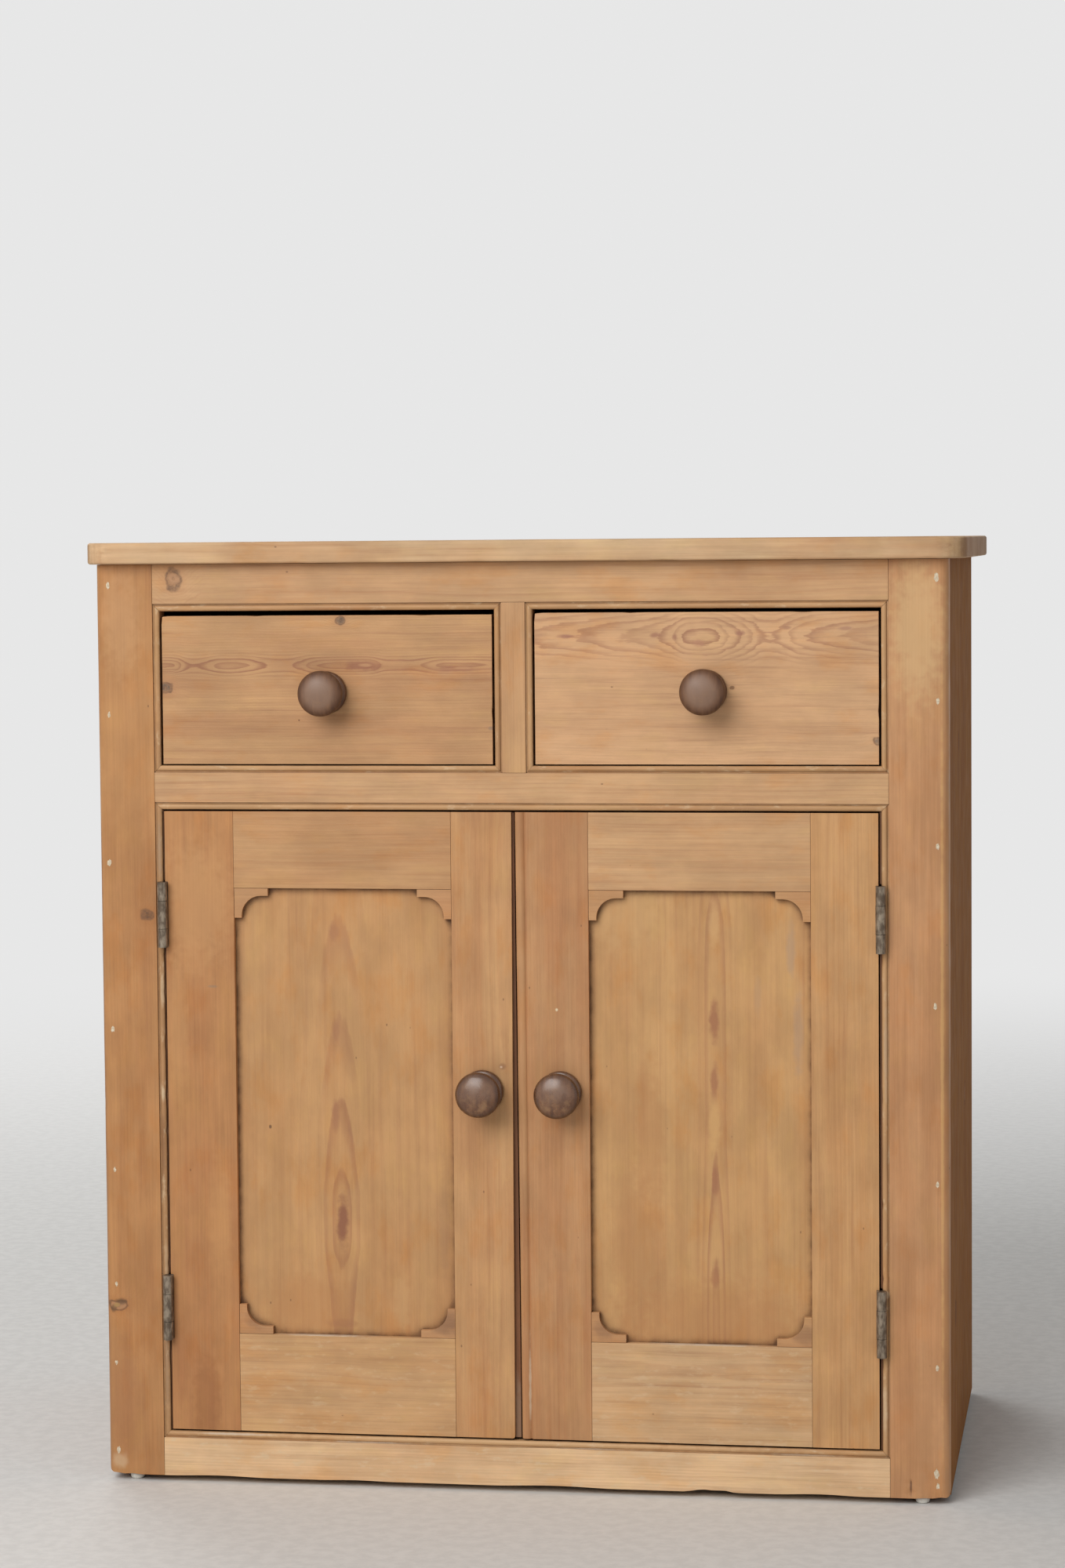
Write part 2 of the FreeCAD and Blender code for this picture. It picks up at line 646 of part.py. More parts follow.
def shelf_cleats():
    """A cleat on each side board under the shelf."""
    left = block(side_inner_left, side_inner_left + CLEAT_THICKNESS, frame_back_y + SHELF_SETBACK,
                 back_inner_y, shelf_bottom - CLEAT_HEIGHT, shelf_bottom)
    return [left, mirrored(left, middle_x)]


def back_rail(z0, z1):
    """A rail across the inside of the back boards."""
    return block(side_inner_left, side_inner_right, back_rail_y, back_inner_y, z0, z1)


def drawer_limits(side):
    """A drawer's two outer faces in x."""
    if side == "left":
        return opening_left + DRAWER_END_GAP, muntin_left - BEAD_WIDTH - DRAWER_END_GAP
    return muntin_right + BEAD_WIDTH + DRAWER_END_GAP, opening_right - DRAWER_END_GAP


def bay_spans(reach):
    """X spans of the three fore-and-aft pieces that reach past the drawers' sides."""
    left0, left1 = drawer_limits("left")
    right0, right1 = drawer_limits("right")
    return [(side_inner_left, left0 + reach), (left1 - reach, right0 + reach),
            (right1 - reach, side_inner_right)]


def drawer_runners():
    """What the drawers slide on: one at each side and a wide one between."""
    return [block(x0, x1, frame_back_y, back_rail_y, runner_top - RUNNER_HEIGHT, runner_top)
            for x0, x1 in bay_spans(DRAWER_SIDE_THICKNESS + RUNNER_BEARING)]


def drawer_guides():
    """What keeps the drawers straight: strips on the runners beside their sides."""
    return [block(x0, x1, frame_back_y, back_rail_y, runner_top, runner_top + GUIDE_HEIGHT)
            for x0, x1 in bay_spans(-GUIDE_PLAY)]


def drawer_kickers():
    """What stops an open drawer tipping: strips above its sides."""
    return [block(x0, x1, frame_back_y, back_rail_y, drawer_opening_top, drawer_opening_top + KICKER_HEIGHT)
            for x0, x1 in bay_spans(DRAWER_SIDE_THICKNESS + RUNNER_BEARING)]


def drawer_stops():
    """Blocks on the runners behind the drawers' sides."""
    stops = []
    for side in ("left", "right"):
        x0, x1 = drawer_limits(side)
        for start in (x0, x1 - DRAWER_STOP_WIDTH):
            stops.append(block(start, start + DRAWER_STOP_WIDTH, drawer_back_y + SEAT_GAP, back_rail_y,
                               runner_top, runner_top + DRAWER_STOP_HEIGHT))
    return stops


def door_stop():
    """A strip on the back of the middle rail that the doors close against."""
    low = door_opening_top - STOP_STRIP_LAP
    return block(frame_left, frame_right, frame_back_y, frame_back_y + STOP_STRIP_THICKNESS,
                 low, low + STOP_STRIP_HEIGHT)


def catches(gap=0.0):
    """A spring ball catch over each door's free corner, let up into the rail."""
    y = (front_face_y + door_back_y) / 2
    pieces = []
    for x in (meeting_x("left", door_top) - CATCH_INSET, meeting_x("right", door_top) + CATCH_INSET):
        mouth = Vector(x, y, door_opening_top)
        barrel = Part.makeCylinder(CATCH_RADIUS + gap, CATCH_LENGTH + gap, mouth)
        ball = Part.makeSphere(CATCH_BALL_RADIUS, mouth + Z_AXIS * (CATCH_BALL_RADIUS - CATCH_BALL_REACH))
        pieces.append(union([barrel, ball]))
    return pieces


# --------------------------------------------------------------------- drawers
def drawer_top(side):
    """The height of a drawer front's upper edge."""
    return drawer_opening_top - (LEFT_DRAWER_TOP_GAP if side == "left" else RIGHT_DRAWER_TOP_GAP)


def dovetail_tails(side, x0, x1, flare):
    """The tails at the front end of a drawer side that lies between x0 and x1."""
    top = drawer_top(side) - DRAWER_SIDE_DROP
    pitch = (top - drawer_bottom) / DOVETAIL_COUNT
    tip_y = front_face_y + DOVETAIL_LAP
    root_y = front_face_y + DRAWER_FRONT_THICKNESS
    tails = []
    for number in range(DOVETAIL_COUNT):
        middle = drawer_bottom + (number + 0.5) * pitch
        half = pitch * DOVETAIL_SHARE / 2
        outline = [Vector(x0, root_y, middle - half + flare), Vector(x0, root_y, middle + half - flare),
                   Vector(x0, tip_y, middle + half), Vector(x0, tip_y, middle - half)]
        tails.append(prism(outline, Vector(x1 - x0, 0, 0)))
    return tails


def drawer_sides_x(side):
    """The x spans of a drawer's two sides."""
    x0, x1 = drawer_limits(side)
    return (x0, x0 + DRAWER_SIDE_THICKNESS), (x1 - DRAWER_SIDE_THICKNESS, x1)


def drawer_bottom_board(side, play=0.0):
    """The thin bottom in its grooves; it runs on under the back."""
    (_, inner0), (inner1, _) = drawer_sides_x(side)
    reach = DRAWER_GROOVE_DEPTH - play
    low = drawer_bottom + DRAWER_BOTTOM_RISE
    front = front_face_y + DRAWER_FRONT_THICKNESS - reach
    return block(inner0 - reach, inner1 + reach, front, drawer_back_y - DRAWER_BACK_INSET,
                 low, low + DRAWER_BOTTOM_THICKNESS)


def drawer_back(side):
    """The back, housed in the sides and standing on the bottom."""
    (_, inner0), (inner1, _) = drawer_sides_x(side)
    rear = drawer_back_y - DRAWER_BACK_INSET
    low = drawer_bottom + DRAWER_BOTTOM_RISE + DRAWER_BOTTOM_THICKNESS
    return block(inner0 - DRAWER_BACK_HOUSING, inner1 + DRAWER_BACK_HOUSING,
                 rear - DRAWER_BACK_THICKNESS, rear, low, drawer_top(side) - DRAWER_BACK_DROP)


def drawer_side(side, x0, x1):
    """A drawer side with its tails, grooved for the bottom and housed for the back."""
    board = block(x0, x1, front_face_y + DRAWER_FRONT_THICKNESS, drawer_back_y, drawer_bottom,
                  drawer_top(side) - DRAWER_SIDE_DROP)
    board = union([board] + dovetail_tails(side, x0, x1, DOVETAIL_FLARE))
    return cut(board, [drawer_bottom_board(side), drawer_back(side)])


def drawer_front(side):
    """A plain front with sockets for the tails, a groove for the bottom and a knob hole."""
    x0, x1 = drawer_limits(side)
    front = block(x0, x1, front_face_y, front_face_y + DRAWER_FRONT_THICKNESS,
                  drawer_bottom, drawer_top(side))
    tools = [drawer_bottom_board(side), knob(*drawer_knob_place(side), FIT_GAP)]
    for span in drawer_sides_x(side):
        tools += dovetail_tails(side, *span, DOVETAIL_FLARE)
    return cut(front, tools)


def drawer_knob_place(side):
    """The knob is a little below the middle of the front."""
    x0, x1 = drawer_limits(side)
    return (x0 + x1) / 2, (drawer_bottom + drawer_top(side)) / 2 - DRAWER_KNOB_DROP


def save_drawer(side):
    """The six pieces of one drawer."""
    name = "drawer_%s_" % side
    spans = drawer_sides_x(side)
    save(name + "front", drawer_front(side))
    save(name + "side_left", drawer_side(side, *spans[0]))
    save(name + "side_right", drawer_side(side, *spans[1]))
    save(name + "back", drawer_back(side))
    save(name + "bottom", drawer_bottom_board(side, DRAWER_GROOVE_PLAY))
    save(name + "knob", knob(*drawer_knob_place(side)))


# ----------------------------------------------------------------------- doors
def meeting_x(side, z):
    """The x of a door's meeting edge at a height; both edges taper away from each other."""
    share = (door_top - z) / (door_top - door_bottom)
    left_edge = opening_left + LEFT_HINGE_GAP + LEFT_DOOR_WIDTH
    if side == "left":
        return left_edge - LEFT_MEETING_TAPER * share
    return left_edge + MEETING_GAP + RIGHT_MEETING_TAPER * share


def door_hinge_x(side):
    """The x of a door's hinged edge."""
    return opening_left + LEFT_HINGE_GAP if side == "left" else opening_right - RIGHT_HINGE_GAP


def panel_limits(side):
    """The x limits of a door's panel opening."""
    if side == "left":
        return (door_hinge_x(side) + LEFT_HINGE_STILE_WIDTH,
                meeting_x(side, door_top) - LEFT_MEETING_STILE_WIDTH)
    return (meeting_x(side, door_top) + RIGHT_MEETING_STILE_WIDTH,
            door_hinge_x(side) - RIGHT_HINGE_STILE_WIDTH)


panel_bottom = door_bottom + DOOR_BOTTOM_RAIL_HEIGHT
panel_top = door_top - DOOR_TOP_RAIL_HEIGHT


def door_panel(side, play=0.0):
    """The flat panel; without play it is the space cut for it in the frame."""
    x0, x1 = panel_limits(side)
    reach = PANEL_GROOVE_DEPTH - play
    return block(x0 - reach, x1 + reach, panel_front_y, panel_back_y,
                 panel_bottom - reach, panel_top + reach)


def door_tenons(side):
    """The four tenons of a door's rails, in the plane of the panel."""
    x0, x1 = panel_limits(side)
    low_rail = (door_bottom + DOOR_TENON_SHOULDER, panel_bottom - PANEL_GROOVE_DEPTH)
    top_rail = (panel_top + PANEL_GROOVE_DEPTH, door_top - DOOR_TENON_SHOULDER)
    return {"bottom": [block(a, a + DOOR_TENON_LENGTH, panel_front_y, panel_back_y, *low_rail)
                       for a in (x0 - DOOR_TENON_LENGTH, x1)],
            "top": [block(a, a + DOOR_TENON_LENGTH, panel_front_y, panel_back_y, *top_rail)
                    for a in (x0 - DOOR_TENON_LENGTH, x1)]}


def door_rail(side, place):
    """A door's top or bottom rail."""
    x0, x1 = panel_limits(side)
    low, high = (door_bottom, panel_bottom) if place == "bottom" else (panel_top, door_top)
    body = union([block(x0, x1, front_face_y, door_back_y, low, high)] + door_tenons(side)[place])
    return cut(body, [door_panel(side)])


def stile_tools(side):
    """What is cut out of every door stile: mortises and the panel's groove."""
    tenons = door_tenons(side)
    return tenons["bottom"] + tenons["top"] + [door_panel(side)]


def door_hinge_stile(side):
    """The stile on the hinged side."""
    x0, x1 = panel_limits(side)
    span = (door_hinge_x(side), x0) if side == "left" else (x1, door_hinge_x(side))
    body = block(*span, front_face_y, door_back_y, door_bottom, door_top)
    return cut(body, stile_tools(side) + hinge_pieces(side, door_hinge_recess))


def door_meeting_stile(side):
    """The stile with the knob, its free edge planed to a slight taper."""
    x0, x1 = panel_limits(side)
    inner = x1 if side == "left" else x0
    corners = [Vector(inner, front_face_y, door_bottom),
               Vector(meeting_x(side, door_bottom), front_face_y, door_bottom),
               Vector(meeting_x(side, door_top), front_face_y, door_top),
               Vector(inner, front_face_y, door_top)]
    body = prism(corners, Vector(0, door_thickness, 0))
    tools = stile_tools(side) + [knob(*door_knob_place(side), FIT_GAP)]
    if side == "right":
        tools.append(meeting_bead_cut())
    return cut(body, tools)


def meeting_bead_cut():
    """What is planed off the right door's meeting edge to leave a quirked bead."""
    lean = Vector(meeting_x("right", door_top) - meeting_x("right", door_bottom), 0, door_top - door_bottom)
    start = Vector(meeting_x("right", door_bottom), front_face_y, door_bottom)

    def at(x, y):
        return start + Vector(x, y, 0)

    middle = at(MEETING_BEAD_WIDTH / 2, 0)
    lip, quirk = at(0, MEETING_BEAD_DROP), at(MEETING_BEAD_WIDTH, MEETING_BEAD_DROP)
    outer = [quirk, at(MEETING_BEAD_WIDTH + QUIRK_WIDTH, MEETING_BEAD_DROP),
             at(MEETING_BEAD_WIDTH + QUIRK_WIDTH, -CLEAR), at(-CLEAR, -CLEAR),
             at(-CLEAR, MEETING_BEAD_DROP), lip]
    edges = [Part.Arc(lip, middle, quirk).toShape()]
    edges += [Part.LineSegment(a, b).toShape() for a, b in zip(outer, outer[1:])]
    return Part.Face(Part.Wire(edges)).extrude(lean)


def door_knob_place(side):
    """The knob stands on the meeting stile."""
    z = door_bottom + DOOR_KNOB_RISE
    if side == "left":
        return meeting_x(side, door_top) - LEFT_KNOB_INSET, z
    return meeting_x(side, door_top) + RIGHT_KNOB_INSET, z


def spandrel():
    """One bracket in the corner at the origin: it reaches along +X and down -Z."""
    end, radius = SPANDREL_END, SPANDREL_RADIUS
    arc_start = Vector(end + radius, 0, -end)
    arc_end = Vector(end, 0, -end - radius)
    bulge = radius * (1 - 0.5 ** 0.5)
    arc_middle = Vector(end + bulge, 0, -end - bulge)
    corners = [arc_end, Vector(end, 0, -SPANDREL_REACH_STILE), Vector(0, 0, -SPANDREL_REACH_STILE), ORIGIN,
               Vector(SPANDREL_REACH_RAIL, 0, 0), Vector(SPANDREL_REACH_RAIL, 0, -end), arc_start]
    edges = [Part.Arc(arc_start, arc_middle, arc_end).toShape()]
    edges += [Part.LineSegment(a, b).toShape() for a, b in zip(corners, corners[1:])]
    return Part.Face(Part.Wire(edges)).extrude(Vector(0, PANEL_RECESS - SPANDREL_SETBACK, 0))


def spandrels(side):
    """Four brackets, one in each corner of the panel."""
    x0, x1 = panel_limits(side)
    brackets = []
    for flip_x, x in ((False, x0), (True, x1)):
        for flip_z, z in ((False, panel_top), (True, panel_bottom)):
            bracket = spandrel()
            if flip_x:
                bracket = bracket.mirror(ORIGIN, X_AXIS)
            if flip_z:
                bracket = bracket.mirror(ORIGIN, Z_AXIS)
            bracket.translate(Vector(x, front_face_y + SPANDREL_SETBACK, z))
            brackets.append(bracket)
    return brackets


def save_door(side):
    """The nine pieces of one door."""
    name = "door_%s_" % side
    save(name + "hinge_stile", door_hinge_stile(side))
    save(name + "meeting_stile", door_meeting_stile(side))
    save(name + "top_rail", door_rail(side, "top"))
    save(name + "bottom_rail", door_rail(side, "bottom"))
    save(name + "panel", door_panel(side, PANEL_PLAY))
    save(name + "spandrels", spandrels(side))
    save(name + "knob", knob(*door_knob_place(side)))
    save(name + "hinge_leaves", hinge_pieces(side, door_leaf))
    save(name + "hinge_screws", solids(hinge_pieces(side, door_screws)))


# ------------------------------------------------------------------- assembly
def save_case():
    """Every piece that stands still."""
    save("top_boards", top_boards())
    for side in ("left", "right"):
        save("side_" + side, side_board(side))
        save("stile_" + side, stile(side))
    save("rail_top", rail(rail_top_bottom, case_top, muntin_tenons()))
    save("rail_middle", rail(rail_middle_bottom, rail_middle_top, muntin_tenons() + catches(FIT_GAP)))
    save("rail_bottom", rail(case_bottom, rail_bottom_top))
    save("muntin", muntin())
    save("bead_drawer_left", bead_ring(frame_left, muntin_left, rail_middle_top, rail_top_bottom))
    save("bead_drawer_right", bead_ring(muntin_right, frame_right, rail_middle_top, rail_top_bottom))
    save("bead_doors", door_beads())
    save("floor_board", floor_board())
    save("shelf", shelf())
    save("shelf_cleats", shelf_cleats())
    save("drawer_runners", drawer_runners())
    save("drawer_guides", drawer_guides())
    save("drawer_kickers", drawer_kickers())
    save("drawer_stops", drawer_stops())
    save("rail_back_top", back_rail(case_top - BACK_RAIL_TOP_HEIGHT, case_top))
    save("rail_back_middle", back_rail(runner_top - BACK_RAIL_MIDDLE_HEIGHT, runner_top))
    save("back_boards", back_boards())
    save("door_stop", door_stop())
    save("door_catches", catches())
    save("floor_glides", floor_glides())
    save("frame_nails", frame_nails())
    save("hinge_leaves_case", hinge_pieces("left", case_leaf) + hinge_pieces("right", case_leaf))
    save("hinge_pins", hinge_pieces("left", hinge_pin) + hinge_pieces("right", hinge_pin))
    save("hinge_screws_case", solids(hinge_pieces("left", case_screws) + hinge_pieces("right", case_screws)))


os.makedirs("parts", exist_ok=True)
save_case()
for side in ("left", "right"):
    save_door(side)
    save_drawer(side)
print("overall", top_right_x - top_left_x, CASE_DEPTH + knob_front, case_top + TOP_THICKNESS)
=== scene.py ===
import math

import bmesh
import bpy
from mathutils import Matrix, Vector, noise


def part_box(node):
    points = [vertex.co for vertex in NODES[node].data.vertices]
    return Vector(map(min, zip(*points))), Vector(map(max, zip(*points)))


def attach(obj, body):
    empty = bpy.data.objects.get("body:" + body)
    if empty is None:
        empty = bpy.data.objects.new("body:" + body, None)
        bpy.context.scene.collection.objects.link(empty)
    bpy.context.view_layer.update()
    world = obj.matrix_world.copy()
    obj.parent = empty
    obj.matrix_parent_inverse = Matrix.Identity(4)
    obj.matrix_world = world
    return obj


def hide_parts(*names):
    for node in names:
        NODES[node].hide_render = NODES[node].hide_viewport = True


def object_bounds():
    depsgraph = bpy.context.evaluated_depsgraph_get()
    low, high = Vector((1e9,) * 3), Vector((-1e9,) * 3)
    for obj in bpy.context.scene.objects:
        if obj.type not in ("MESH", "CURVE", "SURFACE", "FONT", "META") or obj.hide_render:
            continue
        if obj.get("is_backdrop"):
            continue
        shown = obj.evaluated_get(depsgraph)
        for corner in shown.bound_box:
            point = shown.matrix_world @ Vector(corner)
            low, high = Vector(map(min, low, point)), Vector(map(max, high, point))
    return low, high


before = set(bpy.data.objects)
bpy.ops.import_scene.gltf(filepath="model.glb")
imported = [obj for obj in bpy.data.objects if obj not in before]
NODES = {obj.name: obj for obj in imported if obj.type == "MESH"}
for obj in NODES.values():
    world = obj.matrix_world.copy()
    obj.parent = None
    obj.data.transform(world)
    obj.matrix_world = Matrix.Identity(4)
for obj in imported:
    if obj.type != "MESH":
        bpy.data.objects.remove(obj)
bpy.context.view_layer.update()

# Stripped pine cupboard, two drawers over two panelled doors. Metres, front faces -Y.
MM = 0.001
SAME_PLACE = 1e-5              # points nearer than this lie in one plane
OUTER_ARRIS = 11 * MM          # rounding of the stiles' outer edges
SMALL_ARRIS = 0.45 * MM        # what years of rubbing take off a planed edge
BOX_ARRIS = 0.9 * MM
TOP_FRONT_BOARD = 296          # width in millimetres of the top's front board
TOP_CORNER = 37 * MM
TOP_EDGE = 3 * MM
QUIRK = 1.7 * MM
BEAD_WIDTH = 8 * MM
BEAD_DROP = 2.4 * MM
FRAME_THICKNESS = 23 * MM
LEAF = 3 * MM
LEAF_DEPTH = 18 * MM
HINGE_HEIGHT = 74.5 * MM
HINGE_FROM_TOP, HINGE_FROM_FOOT = 80.5 * MM, 105 * MM
KNOB_REACH = 45 * MM
TAPER_LEFT, TAPER_RIGHT = 1.5 * MM, 2.8 * MM       # what the doors' meeting edges lose at the foot
BACK_BOARD_COUNT = 6
AXES = {"x": 0, "y": 1, "z": 2}


# Mesh helpers.
def everything(bm):
    """All points, edges and faces of a mesh being built."""
    return bm.verts[:] + bm.edges[:] + bm.faces[:]


def cut_across(bm, axis, places):
    """Slices a mesh at the given coordinates of one axis, so that wear has points to move."""
    normal = Vector([float(i == axis) for i in range(3)])
    for place in places:
        bmesh.ops.bisect_plane(bm, geom=everything(bm), dist=1e-6, plane_co=normal * place, plane_no=normal)


def trim(bm, place, keep):
    """Cuts a solid off at a plane and closes it; what lies beyond the plane, along keep, stays."""
    bmesh.ops.bisect_plane(bm, geom=everything(bm), plane_co=place, plane_no=keep, clear_inner=True)
    bmesh.ops.holes_fill(bm, edges=[e for e in bm.edges if e.is_boundary])


def even_places(low, high, step):
    """Coordinates between two ends, about one step apart."""
    count = max(1, round((high - low) / step))
    return [low + (high - low) * k / count for k in range(1, count)]


def mesh_box(bm):
    """Lowest and highest corner of a mesh being built."""
    corners = [v.co for v in bm.verts]
    return (Vector([min(c[i] for c in corners) for i in range(3)]),
            Vector([max(c[i] for c in corners) for i in range(3)]))


def soften(bm, edges, width, segments=2):
    """Rounds edges over."""
    bmesh.ops.bevel(bm, geom=edges, offset=width, affect="EDGES", segments=segments, profile=0.5,
                    material=-1, clamp_overlap=True)


def sharp_edges(bm, angle=35):
    """Edges where two faces meet at more than an angle."""
    return [e for e in bm.edges if len(e.link_faces) == 2 and e.calc_face_angle(0) > math.radians(angle)]


def rise(edge):
    """How much higher one end of an edge lies than the other."""
    return abs(edge.verts[0].co.z - edge.verts[1].co.z)


def block(low, high):
    """A closed box between two corners, to shape further."""
    bm = bmesh.new()
    bmesh.ops.create_cube(bm, size=1)
    bmesh.ops.scale(bm, vec=Vector(high) - Vector(low), verts=bm.verts)
    bmesh.ops.translate(bm, vec=(Vector(low) + Vector(high)) / 2, verts=bm.verts)
    return bm


def prism(bm, first, last):
    """A solid between the outlines of its two ends."""
    first, last = ([bm.verts.new(point) for point in outline] for outline in (first, last))
    bm.faces.new(first)
    bm.faces.new(last[::-1])
    for k in range(len(first)):
        bm.faces.new((first[k - 1], first[k], last[k], last[k - 1]))


def turned(section, centre, axis, steps):
    """A solid spun from the points of its section."""
    bm = bmesh.new()
    line = [bm.verts.new(point) for point in section]
    edges = [bm.edges.new(pair) for pair in zip(line, line[1:])]
    bmesh.ops.spin(bm, geom=line + edges, cent=centre, axis=axis, dvec=(0, 0, 0), angle=math.tau, steps=steps,
                   use_merge=True)
    bmesh.ops.remove_doubles(bm, verts=bm.verts, dist=2e-6)
    return bm


def nail_head(segments, wide, narrow, depth, turn):
    """A low cone, in millimetres, turned to lie on the front or the back."""
    bm = bmesh.new()
    bmesh.ops.create_cone(bm, cap_ends=True, segments=segments, radius1=wide * MM, radius2=narrow * MM,
                          depth=depth * MM)
    bmesh.ops.rotate(bm, matrix=Matrix.Rotation(math.radians(turn), 3, "X"), verts=bm.verts)
    return bm


def weather(bm, seed, depth, size=0.05):
    """Uneven hand planing: every point sinks a little, never rises."""
    bm.normal_update()
    shift = Vector((seed * 7.3, seed * 3.1, seed * 5.7))
    for v in bm.verts:
        swell = 0.5 + 0.5 * noise.noise(v.co / size + shift)
        v.co -= v.normal * depth * swell


def wear(bm, worn):
    """Pushes the points near each worn place along a vector, most in the middle; all in millimetres."""
    for centre, radius, push in worn:
        centre, push, radius = Vector([c * MM for c in centre]), Vector([p * MM for p in push]), radius * MM
        for v in bm.verts:
            near = (v.co - centre).length / radius
            if near < 1:
                v.co += push * (1 - near * near) ** 2


def round_off(bm, corner_x, inward, bottom, radius):
    """Wears the lower outer corner of an upright to a quarter round."""
    centre = Vector((corner_x + inward * radius, bottom + radius))
    for v in bm.verts:
        away = Vector((v.co.x, v.co.z)) - centre
        if away.x * inward < 0 and away.y < 0 and away.length > radius:
            away *= radius / away.length
            v.co.x, v.co.z = centre.x + away.x, centre.y + away.y
    bmesh.ops.remove_doubles(bm, verts=bm.verts, dist=1e-6)


def join(bm, other):
    """Adds one mesh to another and frees it."""
    mesh = bpy.data.meshes.new("joining")
    other.to_mesh(mesh)
    other.free()
    bm.from_mesh(mesh)
    bpy.data.meshes.remove(mesh)


def put_in_scene(name, data):
    """An object of a mesh, a light or a camera."""
    thing = bpy.data.objects.new(name, data)
    bpy.context.scene.collection.objects.link(thing)
    return thing


def finish(bm, name, body, material, nodes=(), smooth=38):
    """Makes an object of a mesh, gives it its body and material, and hides the CAD nodes it stands for."""
    bmesh.ops.recalc_face_normals(bm, faces=bm.faces)
    mesh = bpy.data.meshes.new(name)
    bm.to_mesh(mesh)
    bm.free()
    mesh.polygons.foreach_set("use_smooth", [True] * len(mesh.polygons))
    mesh.set_sharp_from_angle(angle=math.radians(smooth))
    mesh.materials.append(material)
    piece = put_in_scene(name, mesh)
    piece.modifiers.new("even_shading", "WEIGHTED_NORMAL").keep_sharp = True
    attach(piece, body)
    if nodes:
        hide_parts(*nodes)
    return piece


def node_copy(node):
    """A merged copy of a CAD node with its flat faces whole again."""
    bm = bmesh.new()
    bm.from_mesh(NODES[node].data)
    bmesh.ops.remove_doubles(bm, verts=bm.verts, dist=SAME_PLACE)
    bmesh.ops.dissolve_limit(bm, angle_limit=math.radians(0.5), verts=bm.verts, edges=bm.edges)
    return bm


# Material helpers.
class Tone:
    """A value in a material. Adding, multiplying and so on each lay a Math node."""

    def __init__(self, socket):
        self.socket = socket

    def siblings(self):
        """Everything that the node of this value gives."""
        return [Tone(socket) for socket in self.socket.node.outputs]

    def __add__(self, other):
        return maths("ADD", self, other)

    def __sub__(self, other):
        return maths("SUBTRACT", self, other)

    def __rsub__(self, other):
        return maths("SUBTRACT", other, self)

    def __mul__(self, other):
        return maths("MULTIPLY", self, other)

    def __truediv__(self, other):
        return maths("DIVIDE", self, other)


bench = None                   # the node tree that new nodes go into


def set_bench(tree):
    """Chooses the node tree that new nodes go into."""
    global bench
    bench = tree
    return tree


def feed(socket, value):
    """Links a tone to a socket, or sets a plain value on it."""
    if isinstance(value, Tone):
        bench.links.new(value.socket, socket)
    else:
        socket.default_value = value


def make(kind, inputs, output=0, **settings):
    """Puts a node on the bench with its settings and inputs; returns one of its outputs."""
    node = bench.nodes.new("ShaderNode" + kind)
    for name, value in settings.items():
        setattr(node, name, value)
    for name, value in inputs.items():
        feed(node.inputs[name], value)
    return Tone(node.outputs[output])


def maths(operation, *values):
    """A Math node's result."""
    return make("Math", dict(enumerate(values)), operation=operation)


def vector_maths(operation, *values):
    """A Vector Math node's result: a number for a length, else a vector."""
    return make("VectorMath", dict(enumerate(values)), int(operation == "LENGTH"), operation=operation)


def split(vector):
    """A vector's three parts."""
    return make("SeparateXYZ", {0: vector}).siblings()


def combine(x=0.0, y=0.0, z=0.0):
    """A vector of three parts."""
    return make("CombineXYZ", {0: x, 1: y, 2: z})


def ramp(value, low, high, out_low=0.0, out_high=1.0):
    """A value moved smoothly from one range to another and held at its ends."""
    return make("MapRange", {"Value": value, "From Min": low, "From Max": high, "To Min": out_low,
                             "To Max": out_high}, interpolation_type="SMOOTHSTEP")


def srgb(red, green, blue):
    """A colour picked as 0 to 255 on a screen, as the light values that shaders use."""
    def light(value):
        share = value / 255
        return share / 12.92 if share <= 0.04045 else ((share + 0.055) / 1.055) ** 2.4
    return light(red), light(green), light(blue), 1.0


def blend(share, first, second, kind="MIX"):
    """Two colours mixed."""
    return make("Mix", {0: share, 6: first, 7: second}, 2, data_type="RGBA", blend_type=kind)


def cover(colour, share, red, green, blue):
    """A colour partly covered by another, which is picked as 0 to 255."""
    return blend(share, colour, srgb(red, green, blue))


def tint(colour, value):
    """A colour made lighter or darker by a number."""
    return blend(1.0, colour, make("CombineColor", dict.fromkeys(range(3), value)), "MULTIPLY")


def clouds(vector, scale, detail=2.0, roughness=0.5, output="Fac"):
    """Noise over a vector."""
    return make("TexNoise", {"Vector": vector, "Scale": scale, "Detail": detail, "Roughness": roughness}, output)


def stretched(vector, scale, shift=(0, 0, 0)):
    """A vector stretched and shifted."""
    return make("Mapping", {"Vector": vector, "Scale": scale, "Location": shift})


def drawn_clouds(vector, along, across, detail=2.0, roughness=0.5, shift=(0, 0, 0)):
    """Noise drawn out along the grain."""
    return clouds(stretched(vector, (along, across, across), shift), 1.0, detail, roughness)


def own_place(shift=(0, 0, 0)):
    """A piece's own coordinates in millimetres."""
    return stretched(make("TexCoord", {}, "Object"), (1000, 1000, 1000), shift)


def crevice(reach):
    """How far a point is tucked into a corner, from 0 in the open to 1; the finishes use it to paint shade into
    corners.
    """
    return 1.0 - make("AmbientOcclusion", {"Distance": reach}, "AO", samples=8)


def new_material(name, roughness=0.5):
    """A material, put on the bench, and its shader."""
    material = bpy.data.materials.new(name)
    material.use_nodes = True
    shader = set_bench(material.node_tree).nodes["Principled BSDF"]
    shader.inputs["Roughness"].default_value = roughness
    return material, shader


def dress(shader, colour, roughness, relief, strength, depth):
    """Gives a shader its colour, roughness and relief."""
    bump = make("Bump", {"Height": relief, "Strength": strength, "Distance": depth})
    for name, value in (("Base Color", colour), ("Roughness", roughness), ("Normal", bump)):
        feed(shader.inputs[name], value)


